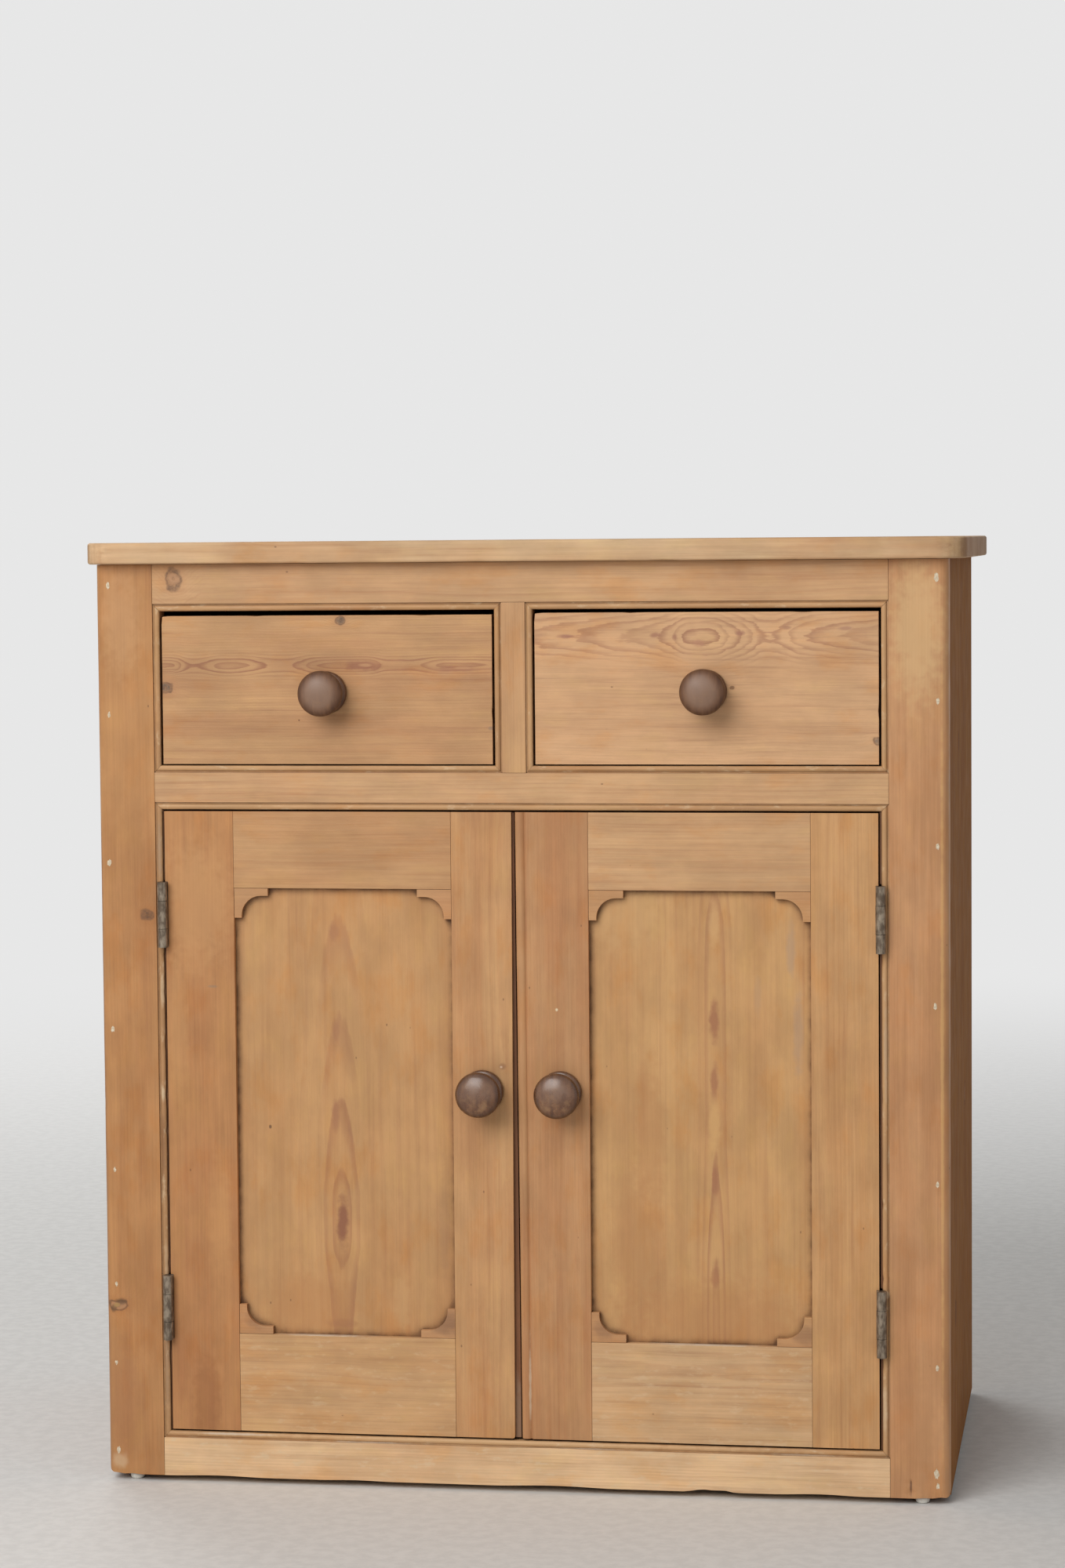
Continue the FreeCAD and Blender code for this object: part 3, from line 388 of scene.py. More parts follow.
# Pine.
def growth_rings():
    """Growth rings round a wandering heart: the board's vector is in millimetres, grain along X."""
    tree = set_bench(bpy.data.node_groups.new("growth_rings", "ShaderNodeTree"))
    for name in ("Board", "Depth", "Wander", "Stretch", "Spacing", "Warp", "Seed", "Phase", "Reach", "Fray"):
        kind = "NodeSocketVector" if name == "Board" else "NodeSocketFloat"
        tree.interface.new_socket(name=name, in_out="INPUT", socket_type=kind)
    for name in ("Late", "Heartness", "Fibre"):
        tree.interface.new_socket(name=name, in_out="OUTPUT", socket_type="NodeSocketFloat")
    inlet = {socket.name: Tone(socket) for socket in tree.nodes.new("NodeGroupInput").outputs if socket.name}
    outlet = tree.nodes.new("NodeGroupOutput").inputs

    seed = inlet["Seed"]
    seeded = vector_maths("ADD", inlet["Board"], combine(seed, seed, seed))
    _, across, deep = split(inlet["Board"])
    slow = vector_maths("MULTIPLY", seeded, combine(inlet["Stretch"], 0.004, 0.004))
    sway_across, sway_deep, _ = split(clouds(slow, 1.0, 1.2, output="Color"))
    swing = inlet["Wander"] * 2.0
    across = across + (sway_across - 0.5) * (swing * 0.6)
    deep = deep + inlet["Depth"] + (sway_deep - 0.5) * swing

    ragged = drawn_clouds(seeded, 0.035, 0.2, 3.0, 0.6)
    radius = vector_maths("LENGTH", combine(0.0, across, deep)) + (ragged - 0.5) * inlet["Fray"] + inlet["Warp"]
    years = radius / inlet["Spacing"] + inlet["Phase"]
    ring = make("ValToRGB", {"Fac": maths("FRACT", years)})
    stops = ring.socket.node.color_ramp.elements
    stops[0].color = stops[1].color = (0, 0, 0, 1)
    for position, value in ((0.42, 0.06), (0.74, 0.8), (0.84, 1.0), (0.93, 0.85)):
        stops.new(position).color = (value, value, value, 1)
    strength = make("TexNoise", {"W": maths("MULTIPLY_ADD", maths("FLOOR", years), 0.61, seed), "Scale": 1.0,
                                 "Detail": 0.0}, "Fac", noise_dimensions="1D")
    feed(outlet["Late"], ring * ramp(strength, 0.25, 0.7, 0.45, 1.0))
    feed(outlet["Heartness"], ramp(maths("ABSOLUTE", across) / inlet["Reach"], 0.3, 1.0, 1.0, 0.0))
    feed(outlet["Fibre"], drawn_clouds(seeded, 0.012, 0.6, 4.0, 0.7))
    return tree


RINGS = growth_rings()
HONEY = (207, 165, 118)
LATE = (168, 112, 76)
RUSSET = (186, 128, 82)
PALE_WOOD = (222, 196, 160)
GREY_KNOT = (122, 106, 92)
DEAD_KNOT = (94, 82, 72)
BROWN_KNOT = (132, 92, 64)
RINGED_KNOT = (176, 134, 100)
LATE_KNOT = (96, 62, 42)
PALE_RESIDUE = (218, 206, 188)


def level_curve(along, marks):
    """The heart's depth under the face, drawn smoothly through (along, depth) marks in millimetres."""
    first, last = marks[0][0], marks[-1][0]
    top = max(depth for _, depth in marks)
    share = make("MapRange", {"Value": along, "From Min": first, "From Max": last})
    curve = make("FloatCurve", {"Value": share})
    mapping = curve.socket.node.mapping
    points = mapping.curves[0].points
    while len(points) < len(marks):
        points.new(0.5, 0.5)
    for point, (place, depth) in zip(points, marks):
        point.location = ((place - first) / (last - first), depth / top)
    mapping.update()
    return curve * top


def each_plank(board, start, width):
    """Gives every plank across a surface its own heart, stretch of grain and tone."""
    along, across, deep = split(board)
    place = (across - start) / width
    number = maths("FLOOR", place)
    across = (place - number - 0.5) * width + maths("SINE", number * 2.3) * (width * 0.3)
    tone = make("TexWhiteNoise", {"W": number}, "Value", noise_dimensions="1D")
    return combine(along + number * 1733.0, across, deep), ramp(tone, 0.0, 1.0, 0.9, 1.07)


def pine(name, order, heart, depth=30.0, spacing=3.4, wander=5.0, stretch=0.004, seed=1.0, figure=0.22,
         quiet=0.6, honey=HONEY, late=LATE, russet=RUSSET, warmth=0.5, knots=(), dirt=0.75, roughness=0.5,
         stains=(), marks=None, phase=0.0, streaky=1.0, gloss=0.3, reach=40.0, fray=1.6, dirt_reach=0.006,
         scuffs=0.0, planks=None, shade_and_grime_range=(0.3, 0.85)):
    """Old pine. order names the axes along, across and through the board; heart is in millimetres."""
    material, shader = new_material("pine_" + name, roughness)
    run, cross = AXES[order[0]], AXES[order[1]]
    parts = split(own_place([-h for h in heart]))
    whole = board = combine(*(parts[AXES[letter]] for letter in order))
    plank_tone = 1.0
    if planks:
        board, plank_tone = each_plank(board, planks[0] - heart[cross], planks[1])
    seeded = stretched(board, (1, 1, 1), (seed * 91.0, seed * 17.0, seed * 53.0))
    if marks:
        depth = level_curve(parts[run], [(place - heart[run], under) for place, under in marks])

    def spot_distance(along, across, length, width):
        """Distance from a place on the face, in units of the spot's own size."""
        offset = vector_maths("ADD", whole, (heart[run] - along, heart[cross] - across, 0))
        return vector_maths("LENGTH", stretched(offset, (1 / length, 1 / width, 0)))

    # Knots push the rings aside.
    core, rim, halo, warp, target, knot_tone = 0.0, 0.0, 0.0, 0.0, 0.0, srgb(*BROWN_KNOT)
    ripple = (clouds(board, 0.1, 1.5) - 0.5) * 1.3
    for along, across, length, width, tone in knots:
        away = ripple + spot_distance(along, across, length, width)
        warp = ramp(away, 0.4, 4.5, width * 1.5, 0.0) + warp
        inside = ramp(away, 0.62, 1.12, 1.0, 0.0)
        knot_tone = cover(knot_tone, inside, *tone)
        core = maths("MAXIMUM", core, inside)
        ring_count = min(14.0, 4.0 + length * 0.7)
        target = maths("MAXIMUM", target, inside * ramp(maths("SINE", away * ring_count), -0.6, 0.9))
        rim = maths("MAXIMUM", rim, ramp(away, 0.72, 0.98) * ramp(away, 1.0, 1.4, 0.85, 0.0))
        halo = maths("MAXIMUM", halo, ramp(away, 1.0, 2.6, 1.0, 0.0))
    rings = make("Group", {"Board": board, "Depth": depth, "Wander": wander, "Stretch": stretch,
                           "Spacing": spacing, "Warp": warp, "Seed": seed * 37.0, "Phase": phase,
                           "Reach": reach, "Fray": fray}, node_tree=RINGS)
    late_wood, heartness, fibre = rings.siblings()

    # Latewood lines come and go across the board.
    fading = ramp(drawn_clouds(seeded, 0.004, 0.02), 0.35, 0.62, 0.25, 1.0)
    strength = make("MapRange", {"Value": heartness, "To Min": fading * (figure * quiet), "To Max": figure})
    colour = cover(srgb(*honey), late_wood * strength, *late)

    # Broad warm bands, long streaks, clouds and fibre.
    band = drawn_clouds(seeded, 0.0016, 0.04, 4.0, 0.6)
    patch = drawn_clouds(seeded, 0.006, 0.014, 3.0, 0.55)
    colour = blend(ramp(band + patch, 0.82, 1.25) * warmth, colour, cover(colour, 0.75, *russet))
    streak = drawn_clouds(seeded, 0.0045, 0.16, 5.0, 0.65)
    colour = cover(colour, ramp(streak, 0.52, 0.78, 0.0, 0.42 * streaky), *late)
    tone = (ramp(streak, 0.25, 0.6, 1.0 + 0.06 * streaky, 1.0 - 0.03 * streaky)
            * ramp(fibre, 0.28, 0.72, 1.0 - 0.045 * streaky, 1.0 + 0.035 * streaky)
            * ramp(drawn_clouds(seeded, 0.012, 0.022, 4.0, 0.6), 0.3, 0.7, 0.9, 1.07) * plank_tone)
    colour = tint(colour, tone)
    patina = drawn_clouds(seeded, 0.014, 0.028, 4.0, 0.6, (5, 0, 9))
    colour = blend(ramp(patina, 0.5, 0.7, 0.0, 0.8), colour, (1.0, 0.9, 0.76, 1), "MULTIPLY")
    colour = blend(ramp(patina, 0.3, 0.48, 0.7, 0.0), colour, (1.03, 1.05, 0.97, 1), "MULTIPLY")
    if knots:
        colour = cover(colour, halo * 0.35, *russet)
        rubbed = ramp(clouds(board, 0.35, 4.0, 0.7), 0.3, 0.7, 0.5, 0.95)
        colour = blend(core * rubbed, colour, cover(knot_tone, target * 0.35, *LATE_KNOT))
        colour = cover(colour, rim * rubbed, 96, 72, 58)
    edge = clouds(board, 0.09, 3.0) * 0.9
    for along, across, length, width, stain, amount in stains:
        away = spot_distance(along, across, length, width)
        colour = cover(colour, ramp(away + edge, 0.75, 1.45, amount, 0.0), *stain)
    flecks = make("TexVoronoi", {"Vector": stretched(seeded, (0.028, 0.045, 0.045)), "Scale": 1.0})
    chosen = ramp(make("SeparateColor", {0: flecks.siblings()[1]}), 0.72, 0.8)
    colour = cover(colour, ramp(flecks, 0.022, 0.055, 0.6, 0.0) * chosen, 104, 72, 52)
    if scuffs:
        bare = drawn_clouds(seeded, 0.05, 0.13, 4.0, 0.65)
        colour = cover(colour, ramp(bare, 0.55, 0.7, 0.0, scuffs), *PALE_WOOD)
    # Painted shade together with dirt: darker in corners, recesses and joints, wherever ambient occlusion finds a
    # point tucked in.
    patchy = ramp(clouds(seeded, 0.06, 3.0), 0.3, 0.7, 0.5, 1.0)
    colour = cover(colour, ramp(crevice(dirt_reach), *shade_and_grime_range) * dirt * patchy, 78, 48, 30)
    end = maths("ABSOLUTE", split(make("TexCoord", {}, "Normal"))[run])
    colour = cover(colour, ramp(end, 0.75, 0.97, 0.0, 0.55), 124, 80, 48)
    uneven = ramp(clouds(seeded, 0.035, 3.0), 0.25, 0.75, roughness - 0.07, roughness + 0.1)
    dress(shader, colour, uneven, late_wood * 0.4 + fibre * 0.8, 0.3, 0.4 * MM)
    shader.inputs["Specular IOR Level"].default_value = gloss
    return material


# Other finishes.
def knob_wood(name, centre, seed, dull):
    """Dark stained wood polished by hands, lighter on top of the head with a dusty bloom and a painted highlight,
    darkened toward the rim and in its corners by painted shade, and rubbed to a golden brown below; some are duller.
    """
    material, shader = new_material("wood_" + name, 0.34)
    local = own_place([-1000 * c for c in centre])
    seeded = stretched(local, (1, 1, 1), (seed * 31.0, seed * 7.0, seed * 3.0))
    tipped = make("Mapping", {"Vector": seeded, "Rotation": (0, 0.35 * seed, 0), "Scale": (0.22, 0.03, 0.045)})
    grain = clouds(tipped, 1.0, 4.0, 0.6)
    mottle = clouds(seeded, 0.075, 3.0, 0.55)
    colour = cover(srgb(92, 57, 36), ramp(grain, 0.3, 0.7), 122, 82, 54)
    across, _, up = split(local)
    middle = vector_maths("LENGTH", combine(x=across, z=up))
    # Painted highlight together with a dusty bloom: the head is lighter towards its top.
    upper = ramp(up + (mottle - 0.5) * 40.0, -10.0, 14.0, 0.15 + 0.65 * dull, 0.75 + 0.15 * dull)
    bloom_and_highlight = ramp(middle, 12.0, 24.0, 1.0, 0.1) * upper
    colour = cover(colour, bloom_and_highlight, *(level + 8 * dull for level in (132, 103, 84)))
    lower = ramp(up, -20.0, 10.0, 1.0, 0.3) * ramp(middle, 15.0, 24.0, 1.0, 0.2)
    rubbed = ramp(clouds(seeded, 0.11, 4.0, 0.6), 0.44, 0.7, 0.0, 0.75 - 0.55 * dull) * lower
    colour = cover(colour, rubbed, 158, 120, 84)
    # Painted shade: the knob darkens toward its rounded rim.
    colour = tint(colour, ramp(middle, 17.0, 26.0, 1.0, 0.66))
    colour = tint(colour, ramp(clouds(combine(x=middle * 0.9), 1.0), 0.35, 0.65, 0.97, 1.02))
    # Painted shade with grime in the knob's corners, by ambient occlusion.
    colour = cover(colour, ramp(crevice(0.007), 0.25, 0.8, 0.0, 0.85), 44, 27, 18)
    dress(shader, colour, ramp(mottle, 0.3, 0.7, 0.2 + 0.2 * dull, 0.34 + 0.16 * dull), grain, 0.12, 0.3 * MM)
    shader.inputs["Specular IOR Level"].default_value = 0.6 - 0.22 * dull
    return material


def metal(name, dark, light, roughness, metallic, scale):
    """Worn metal: a dull ground with rubbed places, specks of rust, and painted shade with grime in its corners."""
    material, shader = new_material(name, roughness)
    place = own_place()
    worn = clouds(stretched(place, (1, 1, 0.45)), scale, 5.0, 0.6)
    fine = clouds(place, scale * 5, 4.0, 0.7)
    colour = cover(srgb(*dark), ramp(worn, 0.36, 0.68), *light)
    colour = cover(colour, ramp(fine, 0.55, 0.75, 0.0, 0.45), 98, 68, 48)
    # Painted shade with grime in the corners, by ambient occlusion.
    colour = cover(colour, ramp(crevice(0.004), 0.3, 0.9, 0.0, 0.85), 38, 27, 21)
    dress(shader, colour, ramp(fine, 0.3, 0.7, roughness - 0.08, roughness + 0.14), worn + fine, 0.3, 0.3 * MM)
    shader.inputs["Metallic"].default_value = metallic
    return material


def mottled(name, first, second, roughness, scale):
    """A plain matt or glossy stuff with a slightly uneven colour: filler or plastic."""
    material, shader = new_material(name, roughness)
    uneven = clouds(own_place(), scale, 4.0, 0.6)
    colour = cover(srgb(*first), ramp(uneven, 0.35, 0.65), *second)
    dress(shader, colour, ramp(uneven, 0.3, 0.7, roughness, roughness + 0.15), uneven, 0.3, 0.4 * MM)
    return material


# Places on the case, and boards.
def box_mm(node):
    """A CAD node's corners in millimetres."""
    low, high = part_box(node)
    return low / MM, high / MM


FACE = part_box("muntin")[0].y / MM
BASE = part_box("rail_bottom")[0].z / MM
CASE_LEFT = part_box("stile_left")[0].x / MM
CASE_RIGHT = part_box("stile_right")[1].x / MM


def at(x, z, behind=0):
    """A place on the front or behind it, given from the case's left edge and bottom."""
    return CASE_LEFT + x, FACE + behind, BASE + z


def front_pine(name, run, heart, seed, honey, russet, warmth=0.5, **look):
    """Pine for the front, its knots, stains and marks given from the case's left edge and bottom."""
    corner = (BASE, CASE_LEFT) if run == "z" else (CASE_LEFT, BASE)
    for kind in ("knots", "stains"):
        look[kind] = [(corner[0] + along, corner[1] + across, *rest) for along, across, *rest in look.get(kind, ())]
    if "marks" in look:
        look["marks"] = [(corner[0] + place, depth) for place, depth in look["marks"]]
    return pine(name, "zxy" if run == "z" else "xzy", heart, seed=seed, honey=honey, russet=russet, warmth=warmth,
                **look)


def board(node, body, slot, material, run, seed, step=12.0, arris=SMALL_ARRIS, depth=0.2 * MM, slices=(), worn=(),
          corner=None):
    """A CAD board taken over with softened edges, cut across along its run and weathered."""
    bm = node_copy(node)
    soften(bm, sharp_edges(bm), arris)
    axis = AXES[run]
    low, high = mesh_box(bm)
    cut_across(bm, axis, even_places(low[axis], high[axis], step * MM))
    for other, places in slices:
        cut_across(bm, other, places)
    if corner:
        edge, inward, radius = corner
        near = [radius * k / 5 for k in range(1, 6)]
        cut_across(bm, 0, [edge + inward * reach for reach in near])
        cut_across(bm, 2, [low.z + reach for reach in near])
        round_off(bm, edge, inward, low.z, radius)
    bmesh.ops.triangulate(bm, faces=[f for f in bm.faces if len(f.verts) > 4])
    weather(bm, seed, depth)
    wear(bm, worn)
    finish(bm, node + "_board", body, material, [node])


for side, face_x, heart_y, seed, knots in (
        ("left", box_mm("side_left")[0].x, -60, 5,
         [(300, -40, 13, 10, BROWN_KNOT), (760, 150, 10, 8, RINGED_KNOT), (520, -160, 9, 7, BROWN_KNOT),
          (880, -90, 6, 5, GREY_KNOT)]),
        ("right", box_mm("side_right")[1].x, 60, 6,
         [(410, 110, 12, 9, RINGED_KNOT), (840, -30, 9, 7, BROWN_KNOT), (190, -120, 13, 11, BROWN_KNOT),
          (640, 230, 7, 6, BROWN_KNOT)])):
    # Painted shade: both sides are painted darker and browner than the front, for the shade that falls on them.
    side_pine = pine("side_" + side, "zyx", (face_x, heart_y, 540), depth=22, spacing=3.8, wander=8, stretch=0.003,
                     seed=seed, figure=0.5, quiet=0.5, honey=(160, 110, 64), russet=(138, 88, 50),
                     late=(128, 80, 48), warmth=0.6, gloss=0.03, roughness=0.7, knots=knots)
    board("side_" + side, "case", "pine_side", side_pine, "z", seed, step=25)


def frame_board(name, run, heart, seed, honey, russet, warmth=0.5, outer=None, corner=0.0, slices=(), worn=(),
                **look):
    """A plain board of the face frame; a stile's outer front edge is rounded well over."""
    material = front_pine(name, run, heart, seed, honey, russet, warmth, **look)
    low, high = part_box(name)
    if run == "x":
        tenon = (high.x - low.x - (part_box("stile_right")[0].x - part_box("stile_left")[1].x)) / 2
        low, high = low + Vector((tenon, 0, 0)), high - Vector((tenon, 0, 0))
    elif name == "muntin":
        low = Vector((low.x, low.y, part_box("rail_middle")[1].z))
        high = Vector((high.x, high.y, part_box("rail_top")[0].z))
    bm = block(low, high)
    if outer is not None:
        soften(bm, [e for e in bm.edges if all(abs(v.co.x - outer) < SAME_PLACE and v.co.y < low.y + SAME_PLACE
                                               for v in e.verts)], OUTER_ARRIS, 8)
    soften(bm, sharp_edges(bm), SMALL_ARRIS)
    along, across = (2, 0) if run == "z" else (0, 2)
    cut_across(bm, along, even_places(low[along], high[along], 8 * MM))
    cut_across(bm, across, even_places(low[across], high[across], 9 * MM))
    for axis, places in slices:
        cut_across(bm, axis, places)
    if corner:
        round_off(bm, outer, 1 if outer < 0 else -1, low.z, corner)
    weather(bm, seed + 10, 0.25 * MM)
    wear(bm, worn)
    finish(bm, name + "_board", "case", material, [name])


foot_slices = [(2, [(BASE + z) * MM for z in (0.8, 1.6, 2.6, 3.8, 5, 6.5, 10, 12, 14, 18, 21)]),
               (0, [(CASE_LEFT + x) * MM for x in (0.8, 1.6, 2.6, 4, 5.5, 7, 919, 921.6, 924, 958, 959.5, 961,
                                                   962.4, 963.4, 964.2)])]
frame_board("stile_left", "z", at(-20, 500), 11, (190, 138, 89), (166, 110, 66), 0.6, outer=CASE_LEFT * MM,
            corner=9 * MM, slices=foot_slices, depth=18, spacing=3.6,
            worn=[(at(9, -1), 12, (0, 1.4, 1.3)), (at(26, -2), 10, (0, 0.8, 1.0)), (at(0, 430), 12, (0.7, 0.5, 0)),
                  (at(0, 705), 9, (0.8, 0.4, 0)), (at(55, 20), 14, (0, 0.6, 0))],
            knots=[(647, 55.7, 5.8, 6.4, (100, 74, 56)), (197, 15, 5.6, 10, RINGED_KNOT)],
            stains=[(90, 20, 90, 26, (168, 116, 78), 0.5), (980, 30, 80, 30, (206, 158, 112), 0.4),
                    # The long narrow dark stain down the left arris, (480, 1, ...), is painted shade on the rounded
                    # edge.
                    (850, 40, 150, 60, (200, 154, 102), 0.2), (480, 1, 560, 3, (140, 92, 54), 0.5),
                    (16, 14, 12, 12, (214, 184, 148), 0.5), (201, 18, 5, 9, (100, 74, 52), 0.75),
                    (193, 9, 6, 5, (108, 80, 56), 0.7), (197, 13, 3.4, 5.4, (178, 142, 88), 0.7)])
frame_board("stile_right", "z", at(1040, 500), 12, (202, 151, 107), (180, 124, 80), 0.6, outer=CASE_RIGHT * MM,
            corner=6 * MM, slices=foot_slices, depth=22,
            worn=[(at(955, -1), 13, (-0.5, 1.6, 1.6)), (at(940, -2), 8, (0, 1.0, 1.2)),
                  (at(965, 350), 10, (-0.7, 0.5, 0)), (at(921.6, 6), 6, (0, 1.6, 0.6)),
                  (at(921, 18), 5, (0, 1.2, 0))],
            stains=[(80, 930, 90, 26, (182, 132, 90), 0.4), (970, 930, 110, 40, (216, 178, 128), 0.65),
                    # The long narrow pale stain down the right arris, (500, 957, ...), is a painted highlight on the
                    # rounded edge.
                    (500, 957, 560, 2.4, (226, 180, 118), 0.5), (13, 921.6, 13, 1.7, (104, 72, 52), 0.8)])
frame_board("rail_top", "x", at(300, 990), 13, (202, 159, 116), (182, 132, 92), spacing=3.8, wander=7,
            knots=[(92.3, 1029, 8, 10.5, RINGED_KNOT)])
frame_board("rail_middle", "x", at(640, 770), 14, (208, 165, 121), (186, 136, 96), depth=26, spacing=3.2, wander=6)
# The bottom rail's pale honey is partly scrubbed bare wood and partly painted light, standing for light bounced up
# from the floor.
frame_board("rail_bottom", "x", at(500, 80), 15, (232, 195, 152), (206, 156, 110), depth=22, wander=6, figure=0.28,
            dirt=0.5, scuffs=0.5, slices=[(2, [(BASE + z) * MM for z in (1.5, 3, 5)])],
            worn=[(at(130, -2), 60, (0, 0.4, 1.2)), (at(290, -2), 45, (0, 0.3, 0.8)),
                  (at(520, -2), 70, (0, 0.4, 1.6)), (at(690, -3), 24, (0, 0.8, 2.6)),
                  (at(712, -3), 14, (0, 1.0, 2.2)), (at(820, -2), 50, (0, 0.3, 1.3))])
frame_board("muntin", "z", at(520, 900), 16, (198, 154, 110), (178, 126, 86), spacing=3.0, wander=4)


def top_boards():
    """The overhanging top: two boards edge to edge, rounded front corners, a hair's gap between them."""
    low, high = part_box("top_boards")
    material = pine("top", "xyz", (40, FACE + 90, high.z / MM), depth=14, spacing=4.2, wander=9, stretch=0.0035,
                    seed=3, figure=0.45, quiet=0.5, reach=70, honey=(210, 176, 138), gloss=0.1, roughness=0.6,
                    planks=(low.y / MM, TOP_FRONT_BOARD),
                    knots=[(-210, FACE + 180, 12, 9, BROWN_KNOT), (330, FACE + 60, 8, 6, RINGED_KNOT),
                           (120, FACE + 430, 14, 11, BROWN_KNOT)],
                    stains=[(-60, FACE + 210, 34, 34, (176, 130, 90), 0.25),
                            (250, FACE + 330, 50, 44, (216, 180, 138), 0.3),
                            (-330, FACE + 400, 60, 40, (178, 132, 92), 0.25)])
    slab = block(low, high)
    soften(slab, [e for e in slab.edges if all(v.co.y < low.y + SAME_PLACE for v in e.verts) and rise(e) > MM],
           TOP_CORNER, 14)
    soften(slab, [e for e in sharp_edges(slab, 60) if rise(e) < SAME_PLACE
                  and min(v.co.y for v in e.verts) < high.y - SAME_PLACE], TOP_EDGE, 4)
    joint = low.y + TOP_FRONT_BOARD * MM
    whole = bmesh.new()
    for side in (-1, 1):
        half = slab.copy()
        trim(half, (0, joint + side * 0.15 * MM, 0), (0, side, 0))
        soften(half, [e for e in sharp_edges(half, 60) if all(abs(v.co.y - joint) < MM for v in e.verts)], 0.6 * MM)
        join(whole, half)
    slab.free()
    cut_across(whole, 0, even_places(low.x, high.x, 9 * MM))
    cut_across(whole, 1, even_places(low.y, high.y, 16 * MM))
    weather(whole, 31, 0.35 * MM, 0.07)
    front, middle = low.y / MM, (low.z + high.z) / 2 / MM
    for x, radius, push in ((-300, 12, 0.7), (-90, 9, 0.5), (120, 16, 0.8), (260, 8, 0.6), (410, 12, 0.7)):
        wear(whole, [((x, front, middle + 11), radius, (0, push, -push)),
                     ((x + 47, front, middle - 12), radius, (0, push, push * 0.7))])
    finish(whole, "top_boards_planed", "case", material, ["top_boards"])


top_boards()

# Beads: strips mitred round each opening, cut away where a hinge leaf is let in.
door_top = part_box("door_left_top_rail")[1].z
door_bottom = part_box("door_left_bottom_rail")[0].z
hinge_middles = (door_top - HINGE_FROM_TOP - HINGE_HEIGHT / 2, door_bottom + HINGE_FROM_FOOT + HINGE_HEIGHT / 2)
hinge_spans = [(z - HINGE_HEIGHT / 2, z + HINGE_HEIGHT / 2) for z in hinge_middles]


def bead_section(seated):
    """Points across a strip, as (distance from its outer edge, depth), front face first."""
    lip = BEAD_WIDTH - (LEAF if seated else 0)
    half = (BEAD_WIDTH - QUIRK) / 2
    points = [(0.0, BEAD_DROP), (QUIRK, BEAD_DROP)]
    radius = (half * half + BEAD_DROP * BEAD_DROP) / (2 * BEAD_DROP)
    for step in range(1, 12):
        across = QUIRK + 2 * half * step / 12
        if across < lip:
            points.append((across, radius - math.sqrt(radius ** 2 - (across - QUIRK - half) ** 2)))
    if seated:
        points += [(lip, BEAD_DROP * 0.3), (lip, LEAF_DEPTH), (BEAD_WIDTH, LEAF_DEPTH)]
    else:
        points.append((BEAD_WIDTH, BEAD_DROP))
    return points + [(BEAD_WIDTH, FRAME_THICKNESS), (0.0, FRAME_THICKNESS)]


def bead_strip(start, along, inward, length, seats, finish_number):
    """One strip from corner to corner, mitred, in lengths that change section at each seat."""
    marks = [0.0] + [mark for seat in sorted(seats) for mark in seat] + [length]
    strip = bmesh.new()
    for number, (first, last) in enumerate(zip(marks, marks[1:])):
        section = bead_section(number % 2 == 1)
        prism(strip, *([start + along * (place + mitre * s) + inward * s + Vector((0, d, 0)) for s, d in section]
                       for place, mitre in ((first, first == 0), (last, -(last == length)))))
    for face in strip.faces:
        face.material_index = finish_number
    return strip


def bead_ring(name, seed, seats=(), worn=()):
    """The four strips round an opening."""
    low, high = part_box(name)
    bm = bmesh.new()
    wide, tall = high.x - low.x, high.z - low.z
    x_axis, z_axis = Vector((1, 0, 0)), Vector((0, 0, 1))
    up_seats = [(a - low.z, b - low.z) for a, b in seats]
    down_seats = [(high.z - b, high.z - a) for a, b in seats]
    for x, z, along, inward, length, cuts, finish_number in (
            (low.x, low.z, x_axis, z_axis, wide, (), 1), (high.x, low.z, z_axis, -x_axis, tall, up_seats, 0),
            (high.x, high.z, -x_axis, -z_axis, wide, (), 1), (low.x, high.z, -z_axis, x_axis, tall, down_seats, 0)):
        join(bm, bead_strip(Vector((x, FACE * MM, z)), along, inward, length, cuts, finish_number))
    cut_across(bm, 0, even_places(low.x, high.x, 7 * MM))
    cut_across(bm, 2, even_places(low.z, high.z, 7 * MM))
    weather(bm, seed, 0.3 * MM, 0.03)
    wear(bm, worn)
    ring = finish(bm, name + "_strips", "case", bead_upright, [name])
    ring.data.materials.append(bead_level)


bead_look = {"depth": 40, "spacing": 2.6, "wander": 4, "figure": 0.2, "quiet": 0.8, "honey": (196, 153, 108),
             "russet": (176, 126, 84), "dirt": 0.95, "scuffs": 0.45}
bead_upright = front_pine("bead_upright", "z", at(500, 500), 41, **bead_look, stains=[
    (400, 71, 700, 6, (150, 104, 66), 0.4), (443, 71, 12, 3, PALE_WOOD, 0.7), (228, 895, 6, 4, PALE_WOOD, 0.8),
    (560, 72, 22, 3, PALE_WOOD, 0.5), (720, 71, 42, 4, (166, 140, 114), 0.6), (130, 71, 80, 4, (156, 128, 102), 0.5),
    (380, 70, 50, 3, (120, 84, 58), 0.5), (500, 895, 80, 3, (206, 180, 150), 0.4), (250, 72, 26, 3, PALE_WOOD, 0.3),
    (100, 893, 40, 4, PALE_WOOD, 0.5)])
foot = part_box("bead_doors")[0].z / MM - BASE
bead_level = front_pine("bead_level", "x", at(500, 700), 42, **bead_look, stains=[
    (480, foot + 4, 440, 8, (214, 174, 128), 0.75), (310, foot, 60, 2, PALE_RESIDUE, 0.7),
    (560, foot, 46, 2, PALE_RESIDUE, 0.6), (150, foot + 6, 50, 2, PALE_RESIDUE, 0.5),
    (800, foot + 1, 50, 2, PALE_RESIDUE, 0.5)])
bead_ring("bead_drawer_left", 41)
bead_ring("bead_drawer_right", 42)
